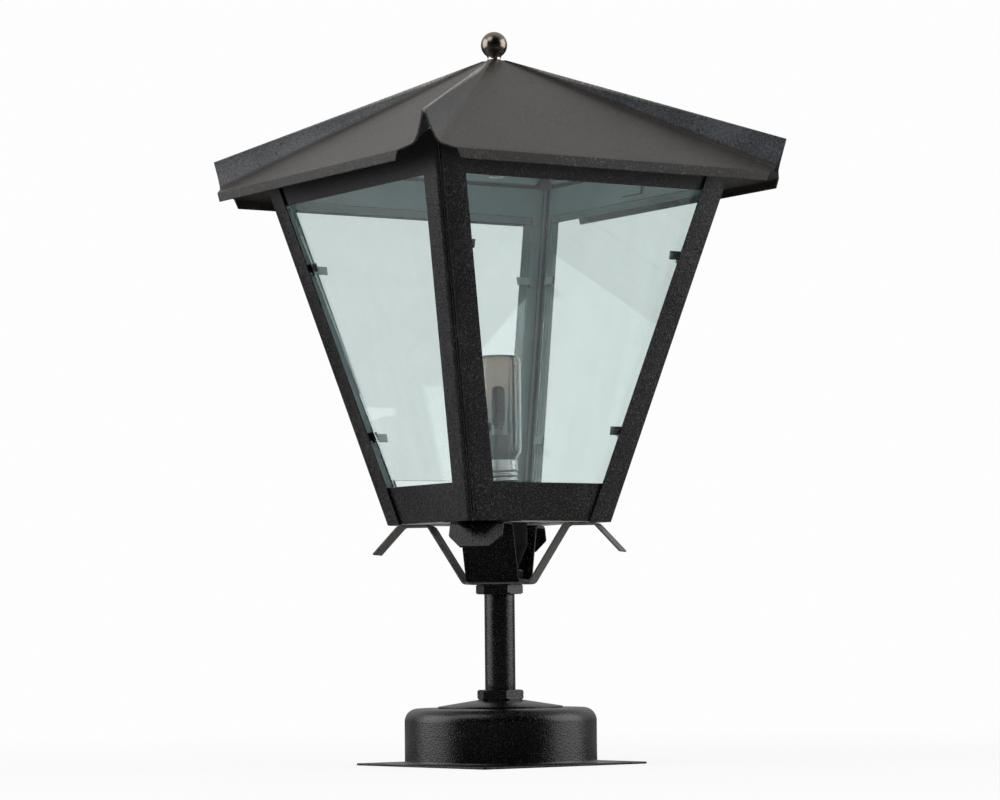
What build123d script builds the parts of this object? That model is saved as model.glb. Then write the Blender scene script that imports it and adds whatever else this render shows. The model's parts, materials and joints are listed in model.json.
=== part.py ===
from build123d import *
from math import atan2, cos, pi, radians, sin, sqrt
import os

os.makedirs("parts", exist_ok=True)

# Post top lantern, in millimetres. Z is up from the underside of the mounting plate, and the lantern's
# faces look along -Y (front), +X (right), +Y (back) and -X (left). Its corners lie on the diagonals.

# Driving dimensions
SHEET = 1.0  # sheet steel of the head

# mounting plate and dome, one pressing
PLATE_SIDE = 145.0
PLATE_T = 1.5
PLATE_CORNER_R = 1.5
PLATE_HOLE_R = 3.25
PLATE_HOLE_PITCH = 120.0
PLATE_TURN = 6.6  # against the head, in degrees
DOME_R = 67.2
DOME_H = 39.5
DOME_WALL = 1.5
DOME_SHOULDER_R = 9.0
DOME_FOOT_R = 2.0

# stem, a half inch pipe, and the hexagon locknuts on its threads
STEM_R = 10.65
STEM_BORE_R = 8.0
STEM_BOTTOM = 30.5
STEM_TOP = 137.0
NUT_FLATS = 29.0
NUT_H = 6.8
NUT_CHAMFER = 0.9
LOWER_NUT_TURN = 12.6
UPPER_NUT_TURN = 17.9
WASHER_R = 43.7
WASHER_T = 1.2
WASHER_RISE = 4.6
FIT = 0.02  # radial room of a locknut on the stem's thread

# cradle: a bent strip towards the front and back corners, and a leaf spring towards the other two
CRADLE_W = 37.5
CRADLE_T = 2.0
CRADLE_FLOOR = 127.0
CRADLE_FLOOR_HALF = 21.0
CRADLE_SHELF_START = 38.0
CRADLE_SHELF_END = 67.0
CRADLE_FLAP_REACH = 76.0
CRADLE_FLAP_DROP = 17.5
CRADLE_FLAP_CHAMFER = 8.5
CRADLE_BEND_RADII = (5.0, 7.0, 3.0)  # flap, shelf and floor
SPRING_W = 23.0
SPRING_T = 1.3
SPRING_SEAT_W = 34.0
SPRING_SEAT_HALF = 20.6
SPRING_ROOT = 20.8
SPRING_RISE_FOOT = 23.0
SPRING_FLAT_START = 48.5
SPRING_FLAT_END = 70.5
SPRING_TAIL_REACH = 89.0
SPRING_TAIL_DROP = 19.8
SPRING_BEND_RADII = (3.0, 5.0, 5.0)  # root, shoulder and tail
SPRING_HEAD_GAP = 0.3  # between the spring's flat and the head's floor

# head: a square frustum that widens upwards
HEAD_BOTTOM = 168.2
HEAD_BOTTOM_HALF = 57.7
HEAD_TOP = 424.6
HEAD_SLOPE = 0.254  # sideways per unit of height, on each face
FLANGE_W = 19.6
GROOVE_W = 3.2
GROOVE_DEPTH = 5.0
WINDOW_BOTTOM = 194.2
WINDOW_TOP = 396.4
RAIL_END_GAP = 7.2
PANE_T = 3.0
PANE_SETBACK = 2.2
PANE_OVERLAP = 5.0
LOOSE_PANE_TOP = 0.6  # overlap of the left pane, which is cut short, at the top of its rear edge
LOOSE_PANE_FOOT = -4.5  # and at its rear bottom corner
LOOSE_PANE_RAISE = 4.4  # height of that corner over the rail
FLOOR_ROOM = 0.1  # between the floor and the rails it fits between
FLOOR_T = 1.2
FLOOR_LIP = 8.0
FLOOR_HOLE_R = 36.0
FLOOR_CORNER_CUT = 11.4  # where the floor clears a post's fold, from the corner line
CLIP_HEIGHTS = (230.0, 351.0)
CLIP_W = 6.0
CLIP_REACH = 5.0
CLIP_T = 0.8
CLIP_STAND_OFF = 0.8  # between the pane's edge and the clip's riser
CLIP_FOOT = 5.7
RIVET_R = 1.6
RIVET_HEAD_R = 2.3
RIVET_HEAD_H = 0.7
RIVET_TAPER = 40.0
RIVET_IN = 13.6  # from the corner line
RIVET_HEIGHTS = (175.6, 403.0)

# top bridge and the rod that the roof is held by
BRIDGE_W = 25.0
BRIDGE_T = 2.0
BRIDGE_Z = 418.5
BRIDGE_LEG = 12.0
ROD_R = 3.0
ROD_BELOW_BRIDGE = 5.6
ROD_IN_BALL = 6.8  # how far the rod reaches into the ball
ROD_NUT_FLATS = 10.0
ROD_NUT_H = 5.0

# roof: one sheet folded to a pyramid with a standing seam on each hip
ROOF_HALF = 155.0
ROOF_SLOPE = 0.59355  # drop per unit outwards, on each face
ROOF_SEAT_GAP = 0.3  # between the head's top edges and the roof's inner skin
ROOF_DROP = 1.2  # how far the inner skin lies below the outer one
ROOF_BLUNT = 2.8  # how far the flat on top lies below the point where the faces would meet
ROOF_TOP_T = 2.0
SKIRT_H = 6.6
SKIRT_DROP = 0.1  # top of the skirt's ring below the roof's edge
ROOF_HOLE_R = 3.3
CORNER_CUT_IN = 20.2  # how far the cut lies inside the corner, at the height of the roof's edge
CORNER_CUT_LEAN = 0.345
SEAM_SECTION_IN = 14.2  # how far inside the corner the seam's section is measured
SEAM_TIP_W = 1.5
SEAM_TIP_H = 20.0
SEAM_MID_W = 4.4
SEAM_MID_H = 7.0
SEAM_FOOT_W = 9.5
SEAM_WALL = 1.0  # the inner skin's section, narrower and lower than the outer one
LOFT_BELOW = 10.0  # how far the lofts go on below the roof's edge, trimmed away afterwards

# finial
COLLAR_R = 5.3
COLLAR_BORE_R = 3.1
COLLAR_H = 3.0
BALL_R = 9.4
BALL_BORE_R = 3.05
BALL_FLAT_R = 4.6  # the flat that the ball stands on
BALL_BORE_ROOM = 2.0  # over the rod's end

# lampholder and lamp
BUSH_SHANK_R = 7.9
BUSH_FLANGE_R = 14.0
BUSH_FLANGE_T = 3.0
BUSH_NIPPLE_R = 5.0
BUSH_NIPPLE_TOP = 150.0
BUSH_BORE_R = 3.4
BUSH_DEPTH = 8.0
HOLDER_R = 20.0
HOLDER_BASE_R = 14.5
HOLDER_BOTTOM = 140.0
HOLDER_SHOULDER = 153.0
HOLDER_TOP = 197.0
HOLDER_BORE_R = 14.3
HOLDER_FLOOR = 176.0
HOLDER_FLOOR_T = 5.0
HOLDER_CHAMBER_BOTTOM = 151.0
HOLDER_CHAMBER_R = 15.0
SHELL_T = 0.5
SHELL_TOP = 195.0
CONTACT_R = 4.0
CONTACT_TOP = 180.0
CONTACT_SHANK_R = 2.0
CAP_R = 13.2
CAP_BOTTOM = 187.0
CAP_TOP = 213.0
CAP_WALL = 0.6
TIP_R = 4.8
TIP_BOTTOM = 180.4
TIP_SHOULDER_R = 11.5
BULB_R = 16.0
BULB_NECK_R = 12.4
BULB_NECK_BOTTOM = 206.0
BULB_NECK_TOP = 213.5
BULB_SHOULDER_Z = 219.0
BULB_HOLE_R = 7.0
BULB_TOP = 286.6
BULB_WALL = 1.0
BULB_SHOULDER_R = 4.0
CAPSULE_R = 4.7
CAPSULE_BOTTOM = 237.5
CAPSULE_TOP = 265.5
CAPSULE_DOME_R = 3.8
RING_R = 6.0
RING_BOTTOM = 231.0
RING_TOP = 235.0
PIN_R = 3.0
MOUNT_R = 6.8
MOUNT_BOTTOM = 206.5

# wiring
BLOCK_SIZE = (22.0, 17.0, 17.0)
BLOCK_X = 33.0
BLOCK_HOLE_R = 2.4
BLOCK_PITCH = 5.6
BLOCK_HOLE_DEPTH = 7.0
LEAD_R = 2.8
LEAD_DROP = 14.0  # from the dome's underside down to the lead and the block's holes
LEAD_TOP = 158.0
LEAD_BEND_SHARE = 0.45  # bend radius over the straight run before it
EARTH_X = -32.0
EARTH_NUT_DROP = 3.0  # room for the ring of an earth wire over the nut
SCREW_R = 2.0
SCREW_ROOM = 0.2
SCREW_HEAD_R = 3.2
SCREW_HEAD_H = 0.9
SCREW_LENGTH = 12.0
CRADLE_SCREW_R = 2.5
CRADLE_SCREW_AT = 54.0
CRADLE_SCREW_HEAD_R = 4.5
CRADLE_SCREW_HEAD_H = 2.2
CRADLE_SCREW_END = 1.6  # how far the screw stands out of its nut
CRADLE_NUT_FLATS = 8.0
CRADLE_NUT_H = 4.0

# Worked out from them
SIDES = {"front": 0, "right": 1, "back": 2, "left": 3}
CORNERS = {"front": (-1, -1), "right": (1, -1), "back": (1, 1), "left": (-1, 1)}
ROOT2 = sqrt(2)
LEAN = atan2(HEAD_SLOPE, 1.0)
HEAD_TOP_HALF = HEAD_BOTTOM_HALF + HEAD_SLOPE * (HEAD_TOP - HEAD_BOTTOM)
ROOF_APEX = HEAD_TOP + ROOF_SEAT_GAP + ROOF_DROP + ROOF_SLOPE * HEAD_TOP_HALF
ROOF_FLAT = ROOF_APEX - ROOF_BLUNT
ROOF_EDGE = ROOF_APEX - ROOF_SLOPE * ROOF_HALF
ROOF_SKIRT_BOTTOM = ROOF_EDGE - SKIRT_H
ROOF_BASE = ROOF_EDGE - LOFT_BELOW
CORNER_CUT_R = ROOF_HALF * ROOT2 - CORNER_CUT_IN
SEAM_R = ROOF_HALF * ROOT2 - SEAM_SECTION_IN
BALL_SEAT = ROOF_FLAT + COLLAR_H
BALL_Z = BALL_SEAT + sqrt(BALL_R**2 - BALL_FLAT_R**2)
ROD_TOP = BALL_SEAT + ROD_IN_BALL
DOME_CEILING = DOME_H - DOME_WALL
LEAD_Z = DOME_CEILING - LEAD_DROP
DIAG_PLANE = Plane(origin=(0, 0, 0), x_dir=(-1, -1, 0), z_dir=(-1, 1, 0))  # x towards the front corner
SPRING_PLANE = Plane(origin=(0, 0, 0), x_dir=(1, -1, 0), z_dir=(-1, -1, 0))  # x towards the right corner
RIVET_CUT = SHEET * 5  # length of a rivet hole's cut, through both sheets


def save(part, name):
    part.label = name
    export_step(part, f"parts/{name}.step")


def head_half(z):
    """Half the head's width over its faces, at a height."""
    return HEAD_BOTTOM_HALF + HEAD_SLOPE * (z - HEAD_BOTTOM)


def side_dirs(side):
    """Unit vectors along a side (left to right, seen from outside) and out of it."""
    angle = radians(90 * side)
    return (cos(angle), sin(angle)), (sin(angle), -cos(angle))


def face_plane(side, depth):
    """Plane of one leaning face of the head, `depth` inside it; local y runs up the slope from HEAD_BOTTOM."""
    along, out = side_dirs(side)
    half = head_half(HEAD_BOTTOM)
    normal = (out[0] * cos(LEAN), out[1] * cos(LEAN), -sin(LEAN))
    origin = (
        out[0] * half - normal[0] * depth,
        out[1] * half - normal[1] * depth,
        HEAD_BOTTOM - normal[2] * depth,
    )
    return Plane(origin=origin, x_dir=(along[0], along[1], 0), z_dir=normal)


def up_slope(z):
    """Distance up a face from the head's bottom edge to a height."""
    return (z - HEAD_BOTTOM) / cos(LEAN)


def face_band(z_low, z_high, gap):
    """Corners of a band across a face, its ends `gap` inside the corner lines."""
    low, high = head_half(z_low) - gap, head_half(z_high) - gap
    return [(-low, up_slope(z_low)), (low, up_slope(z_low)), (high, up_slope(z_high)), (-high, up_slope(z_high))]


def hexagon_nut(name, z_low, height, flats, hole_r, turn=0.0):
    """A hexagon nut with turned corners, as one labelled part."""
    corner_r = flats / sqrt(3)
    turned = [
        (0, 0), (corner_r - NUT_CHAMFER, 0), (corner_r, NUT_CHAMFER),
        (corner_r, height - NUT_CHAMFER), (corner_r - NUT_CHAMFER, height), (0, height),
    ]
    with BuildPart() as nut:
        with BuildSketch(Plane.XY.offset(z_low)):
            RegularPolygon(radius=corner_r, side_count=6, rotation=turn)
            Circle(hole_r, mode=Mode.SUBTRACT)
        extrude(amount=height)
        with BuildSketch(Plane(origin=(0, 0, z_low), x_dir=(1, 0, 0), z_dir=(0, -1, 0))):
            Polygon(*turned, align=None)
        revolve(axis=Axis.Z, mode=Mode.INTERSECT)
    save(nut.part, name)


def turned(points):
    """A solid turned about the Z axis, from (radius, height) points."""
    with BuildPart() as solid:
        with BuildSketch(Plane.XZ):
            Polygon(*points, align=None)
        revolve(axis=Axis.Z)
    return solid.part


def bent_strip(plane, path, radii, thickness, width):
    """A bent strip; `path` is its upper side, drawn left to right on a plane."""
    with BuildPart() as strip:
        with BuildSketch(plane):
            with BuildLine():
                FilletPolyline(*path, radius=radii)
                offset(amount=thickness, side=Side.RIGHT)
            make_face()
        extrude(amount=width / 2, both=True)
    return strip.part


# Mounting plate, stem and their fittings
def base_dome():
    pitch = PLATE_HOLE_PITCH
    with BuildPart() as base:
        with BuildSketch():
            RectangleRounded(PLATE_SIDE, PLATE_SIDE, PLATE_CORNER_R, rotation=PLATE_TURN)
        extrude(amount=PLATE_T)
        with BuildSketch():
            Circle(DOME_R)
        extrude(amount=DOME_H)
        fillet(base.edges().filter_by(GeomType.CIRCLE).group_by(Axis.Z)[-1], DOME_SHOULDER_R)
        round_edges = base.edges().filter_by(GeomType.CIRCLE)
        foot = round_edges.filter_by(lambda e: e.radius > DOME_R - FIT and abs(e.center().Z - PLATE_T) < FIT)
        fillet(foot, DOME_FOOT_R)
        shoulder = DOME_SHOULDER_R - DOME_WALL
        hollow_r = DOME_R - DOME_WALL
        with BuildSketch(Plane.XZ):
            with BuildLine():
                Polyline((0, 0), (hollow_r, 0), (hollow_r, DOME_CEILING - shoulder))
                RadiusArc((hollow_r, DOME_CEILING - shoulder), (hollow_r - shoulder, DOME_CEILING), -shoulder)
                Polyline((hollow_r - shoulder, DOME_CEILING), (0, DOME_CEILING), (0, 0))
            make_face()
        revolve(axis=Axis.Z, mode=Mode.SUBTRACT)
        with Locations((0, 0, DOME_H)):
            Hole(STEM_R + FIT, depth=DOME_H)
        with Locations((BLOCK_X, 0, DOME_H), (EARTH_X, 0, DOME_H)):
            Hole(SCREW_R + SCREW_ROOM, depth=DOME_H)
        with Locations(Location((0, 0, PLATE_T), (0, 0, PLATE_TURN))):
            with GridLocations(pitch, pitch, 2, 2):
                Hole(PLATE_HOLE_R, depth=PLATE_T)
    save(base.part, "base_dome")


def dished_washer():
    inner_r = STEM_R + FIT
    crown_r = NUT_FLATS / 2
    crown = DOME_H + WASHER_RISE
    washer = turned([
        (inner_r, crown), (crown_r, crown), (WASHER_R, DOME_H),
        (WASHER_R, DOME_H + WASHER_T), (crown_r, crown + WASHER_T), (inner_r, crown + WASHER_T),
    ])
    save(washer, "dished_washer")


def stem():
    with BuildPart() as pipe:
        with BuildSketch(Plane.XY.offset(STEM_BOTTOM)):
            Circle(STEM_R)
            Circle(STEM_BORE_R, mode=Mode.SUBTRACT)
        extrude(amount=STEM_TOP - STEM_BOTTOM)
    save(pipe.part, "stem")


def stem_nuts():
    hole_r = STEM_R + FIT
    under_dome = DOME_CEILING - NUT_H
    over_washer = DOME_H + WASHER_RISE + WASHER_T
    under_spring = CRADLE_FLOOR - SPRING_T - NUT_H
    over_cradle = CRADLE_FLOOR + CRADLE_T
    hexagon_nut("dome_locknut", under_dome, NUT_H, NUT_FLATS, hole_r)
    hexagon_nut("lower_nut", over_washer, NUT_H, NUT_FLATS, hole_r, LOWER_NUT_TURN)
    hexagon_nut("upper_nut", under_spring, NUT_H, NUT_FLATS, hole_r, UPPER_NUT_TURN)
    hexagon_nut("cradle_locknut", over_cradle, NUT_H, NUT_FLATS, hole_r, UPPER_NUT_TURN)


def terminal_block():
    size_x, size_y, size_z = BLOCK_SIZE
    with BuildPart() as block:
        with BuildSketch(Plane.XY.offset(DOME_CEILING - size_z)):
            with Locations((BLOCK_X, 0)):
                Rectangle(size_x, size_y)
        extrude(amount=size_z)
        with BuildSketch(Plane.YZ.offset(BLOCK_X - size_x / 2)):
            with Locations((0, LEAD_Z)):
                with GridLocations(BLOCK_PITCH, BLOCK_PITCH, 3, 1):
                    Circle(BLOCK_HOLE_R)
        extrude(amount=BLOCK_HOLE_DEPTH, mode=Mode.SUBTRACT)
        with BuildSketch(Plane.XY.offset(DOME_CEILING)):
            with Locations((BLOCK_X, 0)):
                Circle(SCREW_R)
        extrude(amount=-(SCREW_LENGTH - DOME_WALL), mode=Mode.SUBTRACT)
    save(block.part, "terminal_block")


def pan_screw(x, length):
    """A screw with a low round head on the dome's top."""
    with BuildPart() as screw:
        with BuildSketch(Plane.XY.offset(DOME_H)):
            with Locations((x, 0)):
                Circle(SCREW_HEAD_R)
        extrude(amount=SCREW_HEAD_H)
        with BuildSketch(Plane.XY.offset(DOME_H)):
            with Locations((x, 0)):
                Circle(SCREW_R)
        extrude(amount=-length)
    return screw.part


def dome_screws():
    save(pan_screw(BLOCK_X, SCREW_LENGTH), "terminal_screw")
    with BuildPart() as earth:
        add(pan_screw(EARTH_X, SCREW_LENGTH))
        with BuildSketch(Plane.XY.offset(DOME_CEILING - EARTH_NUT_DROP - CRADLE_NUT_H)):
            with Locations((EARTH_X, 0)):
                RegularPolygon(radius=CRADLE_NUT_FLATS / sqrt(3), side_count=6)
        extrude(amount=CRADLE_NUT_H)
    save(earth.part, "earth_terminal")


def lamp_lead():
    """The round lead, from the terminal block round under the stem and straight up its bore."""
    start_x = BLOCK_X - BLOCK_SIZE[0] / 2
    bend_r = LEAD_BEND_SHARE * start_x
    run = start_x - bend_r + LEAD_TOP - LEAD_Z - bend_r
    with BuildPart() as lead:
        with BuildLine():
            FilletPolyline((start_x, 0, LEAD_Z), (0, 0, LEAD_Z), (0, 0, LEAD_TOP), radius=bend_r)
        with BuildSketch(Plane(origin=(start_x, 0, LEAD_Z), z_dir=(-1, 0, 0))):
            Circle(LEAD_R)
        sweep()
    length = run + pi / 2 * bend_r
    print(f"lamp_lead: bend radius {bend_r:.1f}, volume over section x length "
          f"{lead.part.volume / (pi * LEAD_R**2 * length):.4f}")
    save(lead.part, "lamp_lead")


# Cradle and leaf spring
def cradle():
    flap_r, shelf_r, floor_r = CRADLE_BEND_RADII
    half = [
        (CRADLE_FLOOR_HALF, CRADLE_FLOOR + CRADLE_T), (CRADLE_SHELF_START, HEAD_BOTTOM),
        (CRADLE_SHELF_END, HEAD_BOTTOM), (CRADLE_FLAP_REACH, HEAD_BOTTOM - CRADLE_FLAP_DROP),
    ]
    path = [(-x, z) for x, z in reversed(half)] + half
    radii = [flap_r, shelf_r, floor_r, floor_r, shelf_r, flap_r]
    with BuildPart() as strip:
        add(bent_strip(DIAG_PLANE, path, radii, CRADLE_T, CRADLE_W))
        short = strip.edges().filter_by(lambda e: abs(e.length - CRADLE_T) < FIT)
        chamfer(short.group_by(lambda e: round(abs(e.center().X + e.center().Y), 1))[-1], CRADLE_FLAP_CHAMFER)
        with Locations((0, 0, CRADLE_FLOOR + CRADLE_T)):
            Hole(STEM_R + FIT, depth=CRADLE_T)
        with Locations(*cradle_screw_places(HEAD_BOTTOM)):
            Hole(CRADLE_SCREW_R + SCREW_ROOM, depth=CRADLE_T)
    save(strip.part, "cradle")


def cradle_screw_places(z):
    at = CRADLE_SCREW_AT / ROOT2
    return (at, at, z), (-at, -at, z)


def cradle_screws():
    """Two screws up through the cradle's shelves and the head's floor, each with its nut."""
    head_z = HEAD_BOTTOM - CRADLE_T
    nut_z = HEAD_BOTTOM + FLOOR_T
    with BuildPart() as screws:
        with BuildSketch(Plane.XY.offset(head_z)):
            with Locations(*[(x, y) for x, y, _ in cradle_screw_places(head_z)]):
                Circle(CRADLE_SCREW_HEAD_R)
        extrude(amount=-CRADLE_SCREW_HEAD_H)
        with BuildSketch(Plane.XY.offset(head_z)):
            with Locations(*[(x, y) for x, y, _ in cradle_screw_places(head_z)]):
                Circle(CRADLE_SCREW_R)
        extrude(amount=nut_z + CRADLE_NUT_H + CRADLE_SCREW_END - head_z)
        with BuildSketch(Plane.XY.offset(nut_z)):
            with Locations(*[(x, y) for x, y, _ in cradle_screw_places(nut_z)]):
                RegularPolygon(radius=CRADLE_NUT_FLATS / sqrt(3), side_count=6)
        extrude(amount=CRADLE_NUT_H)
    save(screws.part, "cradle_screws")


def leaf_spring():
    top = CRADLE_FLOOR
    flat = HEAD_BOTTOM - SPRING_HEAD_GAP
    arm = [
        (SPRING_ROOT, top), (SPRING_RISE_FOOT, top), (SPRING_FLAT_START, flat),
        (SPRING_FLAT_END, flat), (SPRING_TAIL_REACH, flat - SPRING_TAIL_DROP),
    ]
    with BuildPart() as seat:
        with BuildSketch(Plane(origin=(0, 0, top - SPRING_T), x_dir=(1, -1, 0), z_dir=(0, 0, 1))):
            Rectangle(SPRING_SEAT_HALF * 2, SPRING_SEAT_W)
            Circle(STEM_R + FIT, mode=Mode.SUBTRACT)
        extrude(amount=SPRING_T)
    save(seat.part, "spring_seat")
    radii = list(SPRING_BEND_RADII)
    save(bent_strip(SPRING_PLANE, arm, radii, SPRING_T, SPRING_W), "spring_arm_right")
    mirrored = [(-x, z) for x, z in reversed(arm)]
    save(bent_strip(SPRING_PLANE, mirrored, radii[::-1], SPRING_T, SPRING_W), "spring_arm_left")


# Head frame
def post_outline(sign_x, sign_y):
    """Plan of a folded corner post at the head's bottom: two flanges and a fold that stands inwards."""
    g = GROOVE_W / ROOT2
    q = GROOVE_DEPTH / ROOT2
    t = SHEET
    deep = q + g + t * ROOT2
    shallow = g + t * (1 + ROOT2)
    outer = [(FLANGE_W, 0), (g, 0), (g + q, q), (q, g + q), (0, g), (0, FLANGE_W)]
    inner = [(t, FLANGE_W), (t, shallow), (q, deep), (deep, q), (shallow, t), (FLANGE_W, t)]
    half = head_half(HEAD_BOTTOM)
    return [(sign_x * (half - a), sign_y * (half - b)) for a, b in outer + inner]


def rivet_spots(side, depth, heights):
    """Planes on a face where the frame's rivets go, two at each height."""
    plane = face_plane(side, depth)
    spots = []
    for z in heights:
        reach = head_half(z) - RIVET_IN
        spots += [plane * Location((-reach, up_slope(z), 0)), plane * Location((reach, up_slope(z), 0))]
    return spots


def corner_post(name, sign_x, sign_y):
    height = HEAD_TOP - HEAD_BOTTOM
    lean = (sign_x * HEAD_SLOPE, sign_y * HEAD_SLOPE, 1)
    with BuildPart() as post:
        with BuildSketch(Plane.XY.offset(HEAD_BOTTOM)):
            Polygon(*post_outline(sign_x, sign_y), align=None)
        extrude(amount=height * sqrt(1 + 2 * HEAD_SLOPE**2), dir=lean)
        for side in SIDES.values():
            with Locations(*rivet_spots(side, -SHEET, RIVET_HEIGHTS)):
                Cylinder(RIVET_R, RIVET_CUT, mode=Mode.SUBTRACT)
    save(post.part, f"post_{name}")


def rail(name, side, z_low, z_high, height):
    with BuildPart() as strip:
        with BuildSketch(face_plane(side, SHEET)):
            Polygon(*face_band(z_low, z_high, RAIL_END_GAP), align=None)
        extrude(amount=-SHEET)
        with Locations(*rivet_spots(side, SHEET, [height])):
            Cylinder(RIVET_R, RIVET_CUT, mode=Mode.SUBTRACT)
    save(strip.part, name)


def frame_rivets():
    with BuildPart() as rivets:
        for side in SIDES.values():
            with BuildSketch(*rivet_spots(side, 0, RIVET_HEIGHTS)):
                Circle(RIVET_R)
            extrude(amount=-SHEET * 2)
            with BuildSketch(*rivet_spots(side, 0, RIVET_HEIGHTS)):
                Circle(RIVET_HEAD_R)
            extrude(amount=RIVET_HEAD_H, taper=RIVET_TAPER)
    save(rivets.part, "frame_rivets")


def pane(name, side, outline):
    with BuildPart() as glass:
        with BuildSketch(face_plane(side, PANE_SETBACK)):
            Polygon(*outline, align=None)
        extrude(amount=-PANE_T)
    save(glass.part, f"pane_{name}")


def panes():
    low, high = WINDOW_BOTTOM - PANE_OVERLAP, WINDOW_TOP + PANE_OVERLAP
    whole = face_band(low, high, FLANGE_W - PANE_OVERLAP)
    foot_x = -(head_half(WINDOW_BOTTOM) - FLANGE_W + LOOSE_PANE_FOOT)
    foot_y = up_slope(WINDOW_BOTTOM + LOOSE_PANE_RAISE)
    top_x = -(head_half(high) - FLANGE_W + LOOSE_PANE_TOP)
    loose = [(foot_x, foot_y), (whole[1][0], up_slope(WINDOW_BOTTOM)), whole[2], (top_x, whole[3][1])]
    for name, side in SIDES.items():
        pane(name, side, loose if name == "left" else whole)


def clip_section(edge_x, hand):
    """Section of a pane clip across its width: foot on the flange, riser past the pane, finger over it."""
    foot = edge_x + PANE_OVERLAP + CLIP_STAND_OFF
    back = PANE_SETBACK + PANE_T
    points = [
        (foot + CLIP_FOOT, SHEET), (foot, SHEET), (foot, back), (edge_x - CLIP_REACH, back),
        (edge_x - CLIP_REACH, back + CLIP_T), (foot + CLIP_T, back + CLIP_T),
        (foot + CLIP_T, SHEET + CLIP_T), (foot + CLIP_FOOT, SHEET + CLIP_T),
    ]
    return [(hand * x, y) for x, y in points]


def glass_clips():
    with BuildPart() as clips:
        for side in SIDES.values():
            face = face_plane(side, 0)
            for z in CLIP_HEIGHTS:
                origin = face.from_local_coords((0, up_slope(z), 0))
                across = Plane(origin=origin, x_dir=face.x_dir, z_dir=face.y_dir)
                for hand in (-1, 1):
                    with BuildSketch(across):
                        Polygon(*clip_section(head_half(z) - FLANGE_W, hand), align=None)
                    extrude(amount=CLIP_W / 2, both=True)
    save(clips.part, "glass_clips")


def floor_pan():
    """Floor of the head: a plate with a round opening and a lip up the inside of each bottom rail."""
    inset = SHEET * 2 / cos(LEAN) + FLOOR_ROOM
    half = head_half(HEAD_BOTTOM) - inset
    reach = 2 * (head_half(HEAD_BOTTOM) - FLOOR_CORNER_CUT / 2) - half
    octagon = [(half, reach), (reach, half), (-reach, half), (-half, reach),
               (-half, -reach), (-reach, -half), (reach, -half), (half, -reach)]
    with BuildPart() as pan:
        with BuildSketch(Plane.XY.offset(HEAD_BOTTOM)):
            Polygon(*octagon, align=None)
        extrude(amount=FLOOR_T)
        for side in SIDES.values():
            with BuildSketch(face_plane(side, SHEET * 2 + FIT)):
                Polygon(*face_band(HEAD_BOTTOM + FLOOR_ROOM, HEAD_BOTTOM + FLOOR_LIP, FLOOR_CORNER_CUT), align=None)
            extrude(amount=-SHEET)
        with Locations((0, 0, HEAD_BOTTOM + FLOOR_T)):
            Hole(FLOOR_HOLE_R, depth=FLOOR_T)
        with Locations(*cradle_screw_places(HEAD_BOTTOM + FLOOR_T)):
            Hole(CRADLE_SCREW_R + SCREW_ROOM, depth=FLOOR_T)
    save(pan.part, "floor_pan")


# Bridge, rod and roof
def top_bridge():
    """A strip across the top of the head from the left rail to the right one, its ends turned down."""
    depth = SHEET * 2 + FIT
    top = BRIDGE_Z + BRIDGE_T
    half = head_half(BRIDGE_Z) - depth / cos(LEAN)
    with BuildPart() as bridge:
        with BuildSketch(Plane.XY.offset(BRIDGE_Z)):
            Rectangle(half * 2, BRIDGE_W)
        extrude(amount=BRIDGE_T)
        for side in (SIDES["left"], SIDES["right"]):
            with BuildSketch(face_plane(side, depth)):
                with Locations((0, (up_slope(top) + up_slope(BRIDGE_Z - BRIDGE_LEG)) / 2)):
                    Rectangle(BRIDGE_W, up_slope(top) - up_slope(BRIDGE_Z - BRIDGE_LEG))
            extrude(amount=-BRIDGE_T)
        with Locations((0, 0, top)):
            Hole(ROD_R + FIT, depth=BRIDGE_T)
    save(bridge.part, "top_bridge")


def roof_rod():
    bottom = BRIDGE_Z - ROD_BELOW_BRIDGE
    with BuildPart() as rod:
        with BuildSketch(Plane.XY.offset(bottom)):
            Circle(ROD_R)
        extrude(amount=ROD_TOP - bottom)
    save(rod.part, "roof_rod")
    with BuildPart() as nuts:
        for z in (BRIDGE_Z - ROD_NUT_H, BRIDGE_Z + BRIDGE_T):
            with BuildSketch(Plane.XY.offset(z)):
                RegularPolygon(radius=ROD_NUT_FLATS / sqrt(3), side_count=6)
                Circle(ROD_R + FIT, mode=Mode.SUBTRACT)
            extrude(amount=ROD_NUT_H)
    save(nuts.part, "rod_nuts")


def on_base(apex, w, r, z):
    """Where the line from the apex through a point of a corner's section meets the lofts' base level."""
    scale = (apex - ROOF_BASE) / (apex - z)
    return r * scale, w * scale


def corner_dirs(sign_x, sign_y):
    """Unit vectors out along a corner's diagonal and across it, anticlockwise."""
    out = (sign_x / ROOT2, sign_y / ROOT2)
    return out, (-out[1], out[0])


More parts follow.
